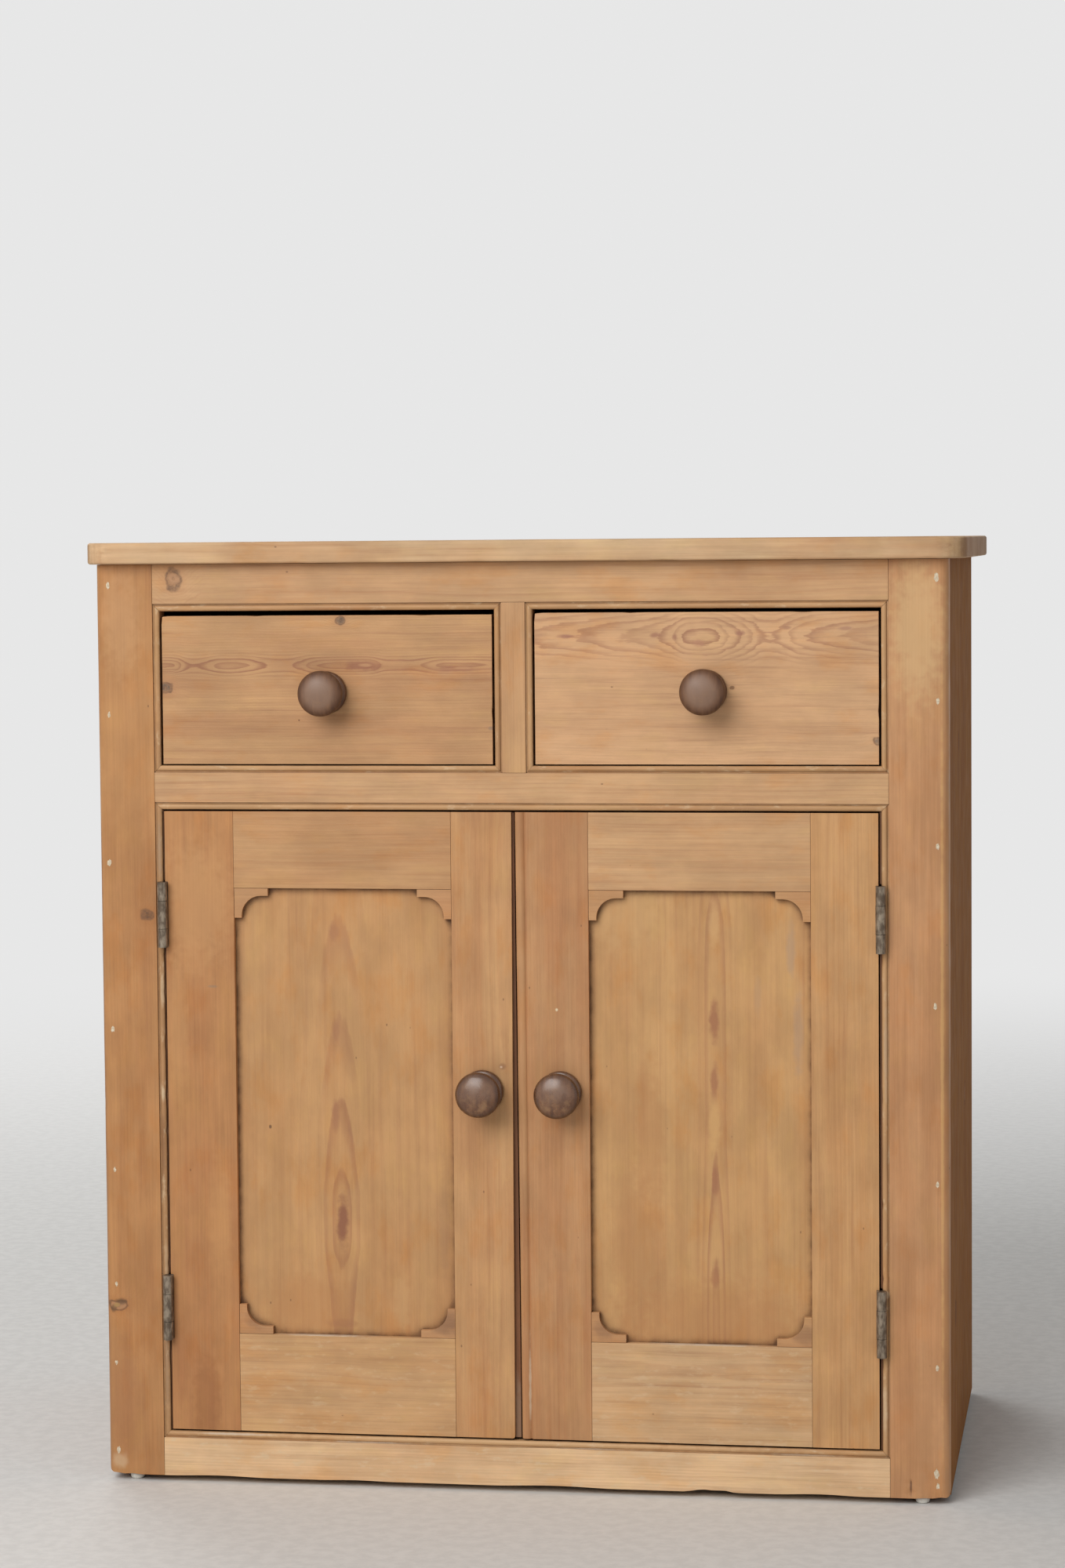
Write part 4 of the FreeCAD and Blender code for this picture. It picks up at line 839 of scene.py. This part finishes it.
bead_ring("bead_doors", 43, hinge_spans,
          [(at(74, z), radius, (-push, push, 0)) for z, radius, push in
           ((600, 9, 0.7), (560, 6, 0.9), (500, 12, 0.5), (440, 8, 0.9), (400, 7, 1.0), (330, 10, 0.6),
            (245, 7, 0.9), (140, 12, 0.6))]
          + [(at(890.4, z), radius, (push, push, 0)) for z, radius, push in
             ((600, 7, 0.6), (450, 10, 0.5), (330, 6, 0.8), (246, 8, 0.9), (150, 9, 0.6))])

# Inside and back: bare, unwaxed pine.
back_low, back_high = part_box("back_boards")
back_width = (back_high.x - back_low.x) / BACK_BOARD_COUNT


def back_boards():
    """Upright boards, each with a tongue in the next one's groove, their outer corners rubbed to a V."""
    material = pine("back", "zxy", (60, 304, 500), depth=14, spacing=3.8, wander=9, stretch=0.003, seed=54,
                    figure=0.42, quiet=0.7, reach=60, honey=(188, 146, 102), russet=(164, 116, 74),
                    late=(150, 104, 66), roughness=0.62, planks=(back_low.x / MM, back_width / MM),
                    knots=[(240, -300, 13, 9, BROWN_KNOT), (700, -120, 9, 7, RINGED_KNOT),
                           (480, 40, 14, 10, BROWN_KNOT), (860, 210, 10, 8, RINGED_KNOT),
                           (330, 330, 12, 9, BROWN_KNOT), (900, -380, 8, 6, BROWN_KNOT),
                           (620, 420, 6, 5, GREY_KNOT), (150, 120, 7, 6, GREY_KNOT)])
    bm = bmesh.new()
    inner, outer = back_low.y, back_high.y
    middle, half, gap, play = (inner + outer) / 2, 1.9 * MM, 0.3 * MM, 0.1 * MM
    for number in range(BACK_BOARD_COUNT):
        left = back_low.x + back_width * number + gap
        right = left + back_width - 2 * gap
        tip = right + (5 * MM if number < BACK_BOARD_COUNT - 1 else -0.5 * MM)
        root = left + (6 * MM if number else 0.5 * MM)
        outline = [(left, inner), (right, inner), (right, middle - half), (tip, middle - half), (tip, middle + half),
                   (right, middle + half), (right, outer), (left, outer), (left, middle + half + play),
                   (root, middle + half + play), (root, middle - half - play), (left, middle - half - play)]
        plank = bmesh.new()
        prism(plank, *([(x, y, z) for x, y in outline] for z in (back_low.z, back_high.z)))
        bmesh.ops.recalc_face_normals(plank, faces=plank.faces)
        soften(plank, [e for e in plank.edges if all(abs(v.co.y - outer) < SAME_PLACE for v in e.verts)
                       and rise(e) > MM], 2.2 * MM)
        cut_across(plank, 2, even_places(back_low.z, back_high.z, 20 * MM))
        cut_across(plank, 0, even_places(left, right, 16 * MM))
        bmesh.ops.triangulate(plank, faces=[f for f in plank.faces if len(f.verts) > 4])
        weather(plank, 55 + number, 0.4 * MM, 0.09)
        join(bm, plank)
    finish(bm, "back_boards_matched", "case", material, ["back_boards"])


def back_nails(material):
    """Flat nail heads in rows where the back boards cross the rails and the floor."""
    bm = bmesh.new()
    for row, node in enumerate(("floor_board", "rail_back_middle", "rail_back_top")):
        low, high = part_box(node)
        for number in range(BACK_BOARD_COUNT):
            for share in (0.22, 0.78):
                stray = Vector((noise.noise((number, share * 9, row)), 0, noise.noise((row * 3, number, share * 5))))
                spot = nail_head(14, 2.9, 2, 0.8, -90)
                bmesh.ops.translate(spot, verts=spot.verts, vec=stray * 5 * MM + Vector((
                    back_low.x + back_width * (number + share), back_high.y - 0.45 * MM, (low.z + high.z) / 2)))
                join(bm, spot)
    finish(bm, "back_nails", "case", material)


inside_look = {"honey": (196, 154, 110), "russet": (176, 126, 82), "late": (160, 112, 72), "roughness": 0.62}
inside_flat = pine("inside_flat", "xyz", (0, 30, 300), 16, 3.6, 9, seed=51, figure=0.5, **inside_look,
                   knots=[(-260, 120, 11.7, 9, BROWN_KNOT), (210, -60, 10.4, 8, RINGED_KNOT)])
inside_deep = pine("inside_deep", "yzx", (0, 20, 800), 20, 3.2, 6, seed=52, figure=0.45, **inside_look)
inside_wide = pine("inside_wide", "xzy", (0, 250, 800), 18, 3.4, 6, seed=53, figure=0.45, **inside_look)
back_boards()
for material, run, names in (
        (inside_flat, "x", ("floor_board", "shelf")),
        (inside_deep, "y", ("shelf_cleats", "drawer_runners", "drawer_guides", "drawer_kickers", "drawer_stops")),
        (inside_wide, "x", ("rail_back_top", "rail_back_middle", "door_stop"))):
    for name in names:
        board(name, "case", "pine_inside", material, run, 60 + len(name), 20 if name == "drawer_stops" else 40,
              BOX_ARRIS)

# Drawers.
drawer_look = {"wander": 1.6, "stretch": 0.012}
drawer_pines = {
    "left": front_pine(
        "drawer_front_left", "x", at(270, 931), 4.0, (196, 151, 106), (180, 128, 90), 0.6, late=(150, 98, 74),
        **drawer_look, spacing=3.0, figure=0.85, quiet=0.14, phase=0.55, reach=16,
        marks=[(60, 5), (84, 2), (112, 8.4), (155, 4.4), (212, 9.5), (235, 7.4), (303, 0.3), (337, 7), (358, 7.2),
               (414, 1.6), (446, 3), (480, 6)],
        knots=[(284, 981.5, 5.2, 4.6, DEAD_KNOT), (81, 906, 7.2, 6, DEAD_KNOT)],
        stains=[(235, 869, 1.8, 1.6, (92, 60, 44), 0.9), (455, 860, 5, 3, (150, 122, 98), 0.7),
                (308, 930, 31, 7.4, (154, 100, 76), 0.72), (312, 931, 11, 2.8, (196, 148, 106), 0.75),
                (414, 926.5, 34, 4.6, (158, 106, 82), 0.55), (422, 927.5, 15, 1.9, (200, 152, 110), 0.6)]),
    "right": front_pine(
        "drawer_front_right", "x", at(696, 962), 7.0, (213, 168, 125), (198, 148, 106), 0.4, late=(150, 98, 76),
        **drawer_look, spacing=3.6, figure=0.66, quiet=0.12, phase=0.84, reach=34, fray=3.4,
        marks=[(490, 38.5), (534, 36), (592, 32.4), (636, 28.8), (657, 25.2), (691, 18.5), (722, 24), (736, 27.6),
               (748, 31), (766, 34.4), (784, 32.4), (803, 28.8), (845, 25.2), (905, 20), (960, 17)],
        knots=[(725.9, 904.7, 2.21, 1.7, BROWN_KNOT), (888, 845, 5.2, 4, GREY_KNOT)],
        stains=[(689, 954, 9, 6, (186, 134, 106), 0.55), (540, 962.5, 13, 3.4, (158, 108, 90), 0.75),
                (641, 963.5, 8, 4, (158, 108, 88), 0.7), (662, 961, 4, 5, (160, 110, 88), 0.65),
                (735, 965, 7, 4, (160, 110, 90), 0.7), (787, 971, 6, 3, (162, 114, 92), 0.6),
                (852, 970, 11, 3, (166, 120, 100), 0.6), (893, 960, 4, 3.4, (120, 88, 72), 0.5)])}
box_look = {"figure": 0.5, "honey": (203, 163, 118), "russet": (186, 138, 94), "late": (168, 120, 78),
            "roughness": 0.6}
box_side_pine = pine("drawer_sides", "yzx", (0, 0, 890), 18, 3.2, 8, seed=71, **box_look,
                     knots=[(60, 930, 7.8, 6, BROWN_KNOT)])
box_back_pine = pine("drawer_backs", "xzy", (100, 200, 900), 18, 3.2, 8, seed=72, **box_look)
box_bottom_pine = pine("drawer_bottoms", "xyz", (0, 0, 830), 10, 3.6, 10, seed=73, **box_look,
                       knots=[(-220, 60, 10.4, 8, BROWN_KNOT), (240, -100, 9.1, 7, RINGED_KNOT)])
for side, seed in (("left", 74), ("right", 75)):
    body = "drawer_" + side
    low, high = box_mm(body + "_front")
    board(body + "_front", body, "pine_drawer_front", drawer_pines[side], "x", seed, 9, BOX_ARRIS, 0.3 * MM,
          slices=[(2, even_places(low.z * MM, high.z * MM, 10 * MM))],
          worn=[((low.x + 110, low.y, high.z), 9, (0, 0.5, -0.8)), ((low.x + 300, low.y, high.z), 14, (0, 0.3, -0.7)),
                ((high.x, low.y, low.z + 60), 10, (-0.7, 0.5, 0)), ((low.x, low.y, high.z), 7, (0.8, 0.6, -0.8))])
    for piece, material, run in (("_side_left", box_side_pine, "y"), ("_side_right", box_side_pine, "y"),
                                 ("_back", box_back_pine, "x"), ("_bottom", box_bottom_pine, "x")):
        board(body + piece, body, "pine_drawer_box", material, run, seed + len(piece), 30, 0.8 * MM)

# Doors: honey, russet, warmth and the rest of each board's look.
door_looks = {
    "door_left_hinge_stile": ((188, 135, 87), (170, 110, 70), 0.65, {"stains": [
        (566, 131.5, 2.2, 8, (150, 124, 100), 0.6), (90, 118, 70, 24, (150, 98, 60), 0.5),
        (300, 135, 90, 18, (206, 152, 98), 0.4), (520, 90, 110, 16, (204, 154, 102), 0.3),
        (660, 115, 100, 60, (206, 156, 106), 0.45)]}),
    "door_right_hinge_stile": ((205, 157, 107), (184, 130, 82), 0.6, {}),
    "door_left_meeting_stile": ((202, 155, 107), (180, 122, 80), 0.65, {"stains": [
        (478.5, 464, 5, 6, (150, 104, 76), 0.6), (478, 462.6, 1.8, 2, (226, 196, 166), 0.8)]}),
    "door_right_meeting_stile": ((193, 145, 101), (176, 116, 74), 0.65, {"stains": [
        (543.5, 526.5, 2.6, 2.2, (232, 214, 176), 0.9), (118, 492.6, 62, 1.7, (230, 208, 178), 0.75)]}),
    "door_left_top_rail": ((196, 151, 106), (180, 126, 84), 0.55, {}),
    "door_right_top_rail": ((205, 162, 118), (184, 134, 92), 0.5, {}),
    "door_left_bottom_rail": ((207, 164, 118), (188, 138, 90), 0.5, {"scuffs": 0.25, "stains": [
        (258, 167.4, 66, 1.6, PALE_RESIDUE, 0.7)]}),
    "door_right_bottom_rail": ((212, 173, 130), (194, 146, 98), 0.45, {"scuffs": 0.3, "stains": [
        (690, 167.4, 80, 1.6, PALE_RESIDUE, 0.7)]}),
    "door_left_spandrels": ((196, 148, 104), (180, 124, 82), 0.5, {"dirt": 0.95, "stains": [
        (398, 184, 26, 18, (112, 82, 66), 0.5), (180, 184, 20, 16, (126, 92, 72), 0.42),
        (201, 171, 5, 3, PALE_RESIDUE, 0.8), (314, 170, 4, 2, PALE_RESIDUE, 0.6)]}),
    "door_right_spandrels": ((200, 152, 106), (184, 128, 84), 0.5, {"dirt": 0.95, "stains": [
        (580, 182, 20, 16, (130, 96, 74), 0.42), (806, 180, 20, 16, (124, 90, 70), 0.42),
        (605, 171, 4, 3, PALE_RESIDUE, 0.7), (752, 172, 8, 3, PALE_RESIDUE, 0.5)]})}
# Panels: a wide, soft painted shade together with dirt round their edges, from the corner darkening in pine().
panel_look = {"stretch": 0.008, "quiet": 0.2, "dirt": 0.9, "dirt_reach": 0.016, "shade_and_grime_range": (0.1, 0.52),
              "streaky": 0.55}
panel_pines = {
    "left": front_pine(
        "panel_left", "z", at(276, 300, 9), 2.2, (198, 151, 102), (186, 132, 84), 0.55, late=(154, 100, 76),
        **panel_look, spacing=10, wander=2.0, figure=0.6, phase=0.84, reach=27, fray=2.4,
        marks=[(150, 20), (215, 14), (248, 9.6), (297, 1), (356, 10), (430, 20), (525, 30), (640, 40), (700, 45)],
        stains=[(297, 277, 40, 9.4, (143, 93, 70), 0.9), (630, 270, 16, 8, (168, 118, 86), 0.5),
                (515, 272, 20, 5, (166, 116, 84), 0.5), (418, 270, 24, 6, (160, 110, 82), 0.5),
                (205, 345, 46, 14, (208, 168, 118), 0.3), (300, 395, 90, 9, (150, 112, 84), 0.3),
                (405, 194, 3, 2, (96, 68, 50), 0.8), (180, 276, 7, 24, (160, 110, 80), 0.5),
                (200, 240, 50, 80, (186, 130, 82), 0.36)]),
    "right": front_pine(
        "panel_right", "z", at(704, 480, 9), 9.4, (204, 158, 106), (186, 134, 88), 0.6, late=(160, 106, 80),
        **panel_look, spacing=6.0, wander=0.9, figure=0.55, phase=0.17, reach=24,
        marks=[(150, 1.5), (200, 2), (254, 4), (310, 7.4), (364, 10), (420, 11.2), (560, 11.4), (620, 12.6),
               (670, 16), (710, 20)],
        stains=[(532, 703, 32, 7.6, (162, 108, 78), 0.8), (462, 703, 30, 6, (166, 112, 80), 0.75),
                (352, 703, 24, 5.6, (164, 110, 80), 0.65), (244, 703, 24, 6.4, (164, 110, 80), 0.6),
                (415, 703, 42, 9, (216, 170, 112), 0.6), (640, 703, 36, 8, (214, 170, 118), 0.5),
                (612, 789, 46, 7, (166, 146, 130), 0.36), (520, 797, 64, 8, (164, 144, 130), 0.32),
                (560, 752, 30, 6, (168, 146, 126), 0.2), (400, 630, 120, 24, (184, 130, 84), 0.4),
                (196, 700, 62, 150, (184, 128, 82), 0.42), (280, 612, 110, 40, (186, 132, 86), 0.36),
                (655, 600, 60, 60, (212, 172, 122), 0.3)])}
meeting_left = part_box("door_left_meeting_stile")[1].x
meeting_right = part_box("door_right_meeting_stile")[0].x
meeting_corners = {"door_left_meeting_stile": (meeting_left - TAPER_LEFT, -1, 3.2 * MM),
                   "door_right_meeting_stile": (meeting_right + TAPER_RIGHT, 1, 2.2 * MM)}
for side, seed in (("left", 81), ("right", 91)):
    body = "door_" + side
    for number, (part, run) in enumerate((("hinge_stile", "z"), ("meeting_stile", "z"), ("top_rail", "x"),
                                          ("bottom_rail", "x"), ("spandrels", "x"))):
        name = body + "_" + part
        low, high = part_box(name)
        across = 0 if run == "z" else 2
        heart = (low + high) / 2 / MM
        heart[across] += 26 if number % 2 else -30
        heart.y = FACE
        honey, russet, warmth, look = door_looks[name]
        material = front_pine(name, run, heart, seed + number, honey, russet, warmth, depth=26 + 5 * number,
                              spacing=3.3, stretch=0.003, **look)
        fretted = part == "spandrels"
        grid = () if fretted else [(across, even_places(low[across], high[across], 11 * MM))]
        board(name, body, "pine_door", material, run, seed + number, 60 if fretted else 9, depth=0.22 * MM,
              slices=grid, corner=meeting_corners.get(name))
    low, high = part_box(body + "_panel")
    board(body + "_panel", body, "pine_panel", panel_pines[side], "z", seed + 6, depth=0.5 * MM,
          slices=[(0, even_places(low.x, high.x, 12 * MM))])


def plane_upright(bm, bottom, top, arris, seed):
    """Softens a thin upright strip and planes it a little unevenly."""
    soften(bm, sharp_edges(bm), arris)
    cut_across(bm, 2, even_places(bottom, top, 9 * MM))
    weather(bm, seed, 0.2 * MM, 0.03)


def meeting_lip():
    """The left door's rebated meeting edge: a lip set back in the gap between the doors, painted dark brown as
    painted shade in the gap and lighter at its foot.
    """
    low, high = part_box("door_left_meeting_stile")
    bm = block((0, low.y + 4.2 * MM, low.z + 0.6 * MM), (1, low.y + 12 * MM, high.z - 0.6 * MM))
    for v in bm.verts:
        foot = v.co.z < (low.z + high.z) / 2
        if v.co.x < 0.5:
            v.co.x = meeting_left - 0.4 * MM - (TAPER_LEFT if foot else 0)
        else:
            v.co.x = meeting_right - 1.2 * MM + (TAPER_RIGHT if foot else 0)
    plane_upright(bm, low.z, high.z, 0.5 * MM, 87)
    material = pine("meeting_lip", "zxy", (meeting_left / MM, FACE, BASE + 300), seed=87, figure=0.2,
                    honey=(118, 78, 50), russet=(104, 66, 40), dirt=0.9, dirt_reach=0.005, shade_and_grime_range=(0.1, 0.7),
                    stains=[(BASE + 80, meeting_left / MM, 60, 30, (150, 122, 98), 0.6)])
    finish(bm, "door_left_meeting_lip", "door_left", material)


def packing_strips():
    """Thin strips that pack out the jambs beside the doors, set back from the face and broken at the hinges, painted
    dark brown as painted shade in the gaps.
    """
    low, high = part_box("bead_doors")
    ends = [low.z + BEAD_WIDTH + 0.5 * MM]
    for start, stop in sorted(hinge_spans):
        ends += [start - 1.5 * MM, stop + 1.5 * MM]
    ends.append(high.z - BEAD_WIDTH - 0.5 * MM)
    bm = bmesh.new()
    for edge, inward, width in ((low.x + BEAD_WIDTH, 1, 1.3 * MM), (high.x - BEAD_WIDTH, -1, 2.4 * MM)):
        for start, stop in zip(ends[::2], ends[1::2]):
            sides = sorted((edge - inward * 0.4 * MM, edge + inward * width))
            strip = block((sides[0], FACE * MM + 4.5 * MM, start), (sides[1], FACE * MM + 14 * MM, stop))
            plane_upright(strip, start, stop, 0.3 * MM, 47)
            join(bm, strip)
    material = pine("packing", "zxy", at(500, 400), seed=47, figure=0.2, honey=(120, 82, 54), russet=(104, 66, 42),
                    dirt=0.8, dirt_reach=0.004)
    finish(bm, "packing_strips", "case", material)


meeting_lip()
packing_strips()


# Knobs: turned on a lathe, a rose against the wood, a neck and a domed head.
def knob(node, body, seed, dull):
    """One knob, spun from its section round the axis that stands out of the wood."""
    low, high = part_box(node)
    centre = Vector(((low.x + high.x) / 2, low.y + KNOB_REACH, (low.z + high.z) / 2))
    radius = (high.x - low.x) / 2
    rose = radius - 1.6 * MM
    section = [(0, 0)]
    section += [(rose - inside * MM, reach * MM) for inside, reach in (
        (2, 0), (0.8, 0.9), (0, 2.6), (0, 5.2), (0.7, 7), (2, 8), (4.6, 8.5), (5.6, 9.3), (8, 11.2))]
    section += [(across * MM, reach * MM) for across, reach in (
        (13.6, 14.5), (13, 18.5), (13.6, 21.5), (15.6, 24.4), (19, 27), (22.6, 29))]
    section += [(radius - inside * MM, reach * MM) for inside, reach in ((1.1, 30.4), (0.3, 31.6))]
    shoulder = 33 * MM
    for step in range(16):
        turn = math.radians(90 * step / 16)
        section.append((radius * math.cos(turn), shoulder + (KNOB_REACH - shoulder) * math.sin(turn)))
    section.append((0, KNOB_REACH))
    bm = turned([centre + Vector((across, -reach, 0)) for across, reach in section], centre, (0, 1, 0), 72)
    weather(bm, seed, 0.25 * MM, 0.012)
    finish(bm, node + "_turned", body, knob_wood(node, centre, seed, dull), [node], 50)


for number, name in enumerate(("door_left", "door_right", "drawer_left", "drawer_right")):
    knob(name + "_knob", name, 3.0 + number, float(number > 1))

# Hinges, screws, catches, nails, glides.
hinge_iron = metal("hinge_iron", (98, 84, 70), (156, 142, 124), 0.42, 0.6, 0.2)
screw_steel = metal("screw_steel", (96, 86, 78), (140, 132, 124), 0.45, 0.7, 0.3)
catch_brass = metal("catch_brass", (150, 116, 62), (190, 156, 92), 0.35, 0.9, 0.25)
nail_iron = metal("nail_iron", (64, 54, 47), (92, 80, 70), 0.6, 0.6, 0.5)
filler = mottled("old_filler", (226, 212, 186), (196, 176, 146), 0.7, 0.5)
white_plastic = mottled("white_plastic", (228, 226, 218), (214, 210, 200), 0.3, 0.2)
back_nails(nail_iron)


def iron(node, body, how, arris, slices=()):
    """A piece of the hinges taken over with its edges rubbed round."""
    name = node + how
    bm = node_copy(node)
    soften(bm, sharp_edges(bm, 50), arris)
    cut_across(bm, 2, slices)
    weather(bm, len(name), 0.12 * MM, 0.006)
    finish(bm, name, body, hinge_iron, [node], 45)


knuckle_slices = [z for low, high in hinge_spans for z in even_places(low, high, 3 * MM)]
iron("hinge_leaves_case", "case", "_cast", 0.35 * MM, knuckle_slices)
iron("hinge_pins", "case", "_drawn", 0.5 * MM)
for body in ("door_left", "door_right"):
    iron(body + "_hinge_leaves", body, "_cast", 0.35 * MM, knuckle_slices)
for node, material in (("hinge_screws_case", screw_steel), ("door_left_hinge_screws", screw_steel),
                       ("door_right_hinge_screws", screw_steel), ("door_catches", catch_brass),
                       ("frame_nails", nail_iron)):       # fasteners that stay as the CAD has them
    NODES[node].data.materials.clear()
    NODES[node].data.materials.append(material)


def fillings():
    """Pale filler smoothed over the nail heads."""
    nails = [(15.4, 1022.1, 3.2), (14.4, 875.6, 2.6), (12, 706.4, 3.4), (13, 515.6, 3), (12.7, 353.5, 2.4),
             (12.8, 221.1, 2.2), (11.3, 129.7, 2.2), (12.5, 28.2, 3.4), (951.4, 1025.4, 4.2), (952.8, 889.5, 3),
             (952.2, 729.3, 3), (949.3, 552, 3), (951.5, 353.7, 2.8), (951.1, 147.6, 2.8), (950.1, 28.7, 4.4),
             (951.6, 15, 2.8)]
    bm = bmesh.new()
    for number, (x, z, radius) in enumerate(nails):
        spot = nail_head(24, radius * 1.3, radius * 0.95, 0.6, 90)
        for v in spot.verts:
            swell = 1 + 0.5 * noise.noise(Vector((v.co.x, 0, v.co.z)) / (2.6 * MM) + Vector((number * 5.1, 0, 0)))
            v.co.x *= swell * 0.56
            v.co.z *= swell * 1.1
        bmesh.ops.translate(spot, vec=[c * MM for c in at(x, z, 0.17)], verts=spot.verts)
        join(bm, spot)
    finish(bm, "nail_fillings", "case", filler)


def glides():
    """Nail-on floor glides: a domed cap on a rim, four of them."""
    section = [(0, 0), (4.4, 0), (6.4, 0.5), (7.4, 1.6), (8, 3.4), (8, 6.2), (7.6, 7), (1.2, 7), (1.2, 22), (0, 23)]
    front, rear = FACE + 13, box_mm("side_left")[1].y - 40
    bm = bmesh.new()
    for x, y in ((CASE_LEFT + 31, front), (CASE_RIGHT - 31, front), (CASE_LEFT + 10, rear), (CASE_RIGHT - 10, rear)):
        join(bm, turned([((x + across) * MM, y * MM, z * MM) for across, z in section], (x * MM, y * MM, 0),
                        (0, 0, 1), 40))
    finish(bm, "floor_glides_moulded", "case", white_plastic, ["floor_glides"])


fillings()
glides()

# Studio: a pale floor that fades into the pale backdrop, a soft key light and a weaker lamp behind.
BACKDROP = 0.8
AMBIENT = 0.31


def seen_directly():
    """1 for what the camera sees, also in a mirror or through glass; 0 for light on its way to the wood."""
    camera_ray, glossy_ray, through = (make("LightPath", {}, "Is %s Ray" % kind)
                                       for kind in ("Camera", "Glossy", "Transmission"))
    return maths("MAXIMUM", camera_ray, maths("MAXIMUM", glossy_ray, through))


floor_material, floor_shader = new_material("studio_floor", 0.85)
floor_place = make("TexCoord", {}, "Object")
speckle = ramp(clouds(floor_place, 60.0, 4.0, 0.6), 0.35, 0.65)
feed(floor_shader.inputs["Base Color"], cover(srgb(217, 216, 213), speckle, 225, 224, 221))
fade = ramp(vector_maths("LENGTH", floor_place), 1.2, 5.0) * seen_directly()
glow = make("Emission", {"Color": (1, 1, 1, 1), "Strength": BACKDROP})
feed(bench.nodes["Material Output"].inputs["Surface"],
     make("MixShader", {0: fade, 1: Tone(floor_shader.outputs[0]), 2: glow}))
floor_mesh = bmesh.new()
bmesh.ops.create_circle(floor_mesh, cap_ends=True, segments=64, radius=40)
mesh = bpy.data.meshes.new("floor")
floor_mesh.to_mesh(mesh)
floor_mesh.free()
mesh.materials.append(floor_material)
floor = put_in_scene("floor", mesh)
floor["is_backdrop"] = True

world = bpy.data.worlds.new("studio")
bpy.context.scene.world = world
world.use_nodes = True
background = set_bench(world.node_tree).nodes["Background"]
background.inputs["Color"].default_value = (1, 1, 1, 1)
feed(background.inputs["Strength"], ramp(seen_directly(), 0.0, 1.0, AMBIENT, BACKDROP))


def lamp(name, place, target, size, power):
    """A square soft light aimed at a point."""
    data = bpy.data.lights.new(name, "AREA")
    data.size = size
    data.energy = power
    light = put_in_scene(name, data)
    light.location = place
    light.rotation_euler = (Vector(target) - Vector(place)).to_track_quat("-Z", "Y").to_euler()


lamp("key", (-1.5, -4.1, 3.3), (0, 0, 0.5), 3.4, 172)
lamp("back", (-2.4, 4.0, 2.8), (0, 0, 0.5), 2.8, 75)

CAMERA_PLACE = (0.6842, -4.4425, 1.0786)
CAMERA_YAW, CAMERA_PITCH, CAMERA_ROLL = 9.084, -3.703, 0.481
CAMERA_LENS = 87.116
view = bpy.data.cameras.new("camera")
view.lens = CAMERA_LENS
view.clip_start, view.clip_end = 0.05, 60
camera = put_in_scene("camera", view)
camera.matrix_world = Matrix.Translation(CAMERA_PLACE)
for angle, axis in ((CAMERA_YAW, "Z"), (CAMERA_PITCH, "X"), (CAMERA_ROLL, "Y"), (90, "X")):
    camera.matrix_world = camera.matrix_world @ Matrix.Rotation(math.radians(angle), 4, axis)
bpy.context.scene.camera = camera
bpy.context.scene.view_settings.view_transform = "Standard"

low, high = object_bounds()
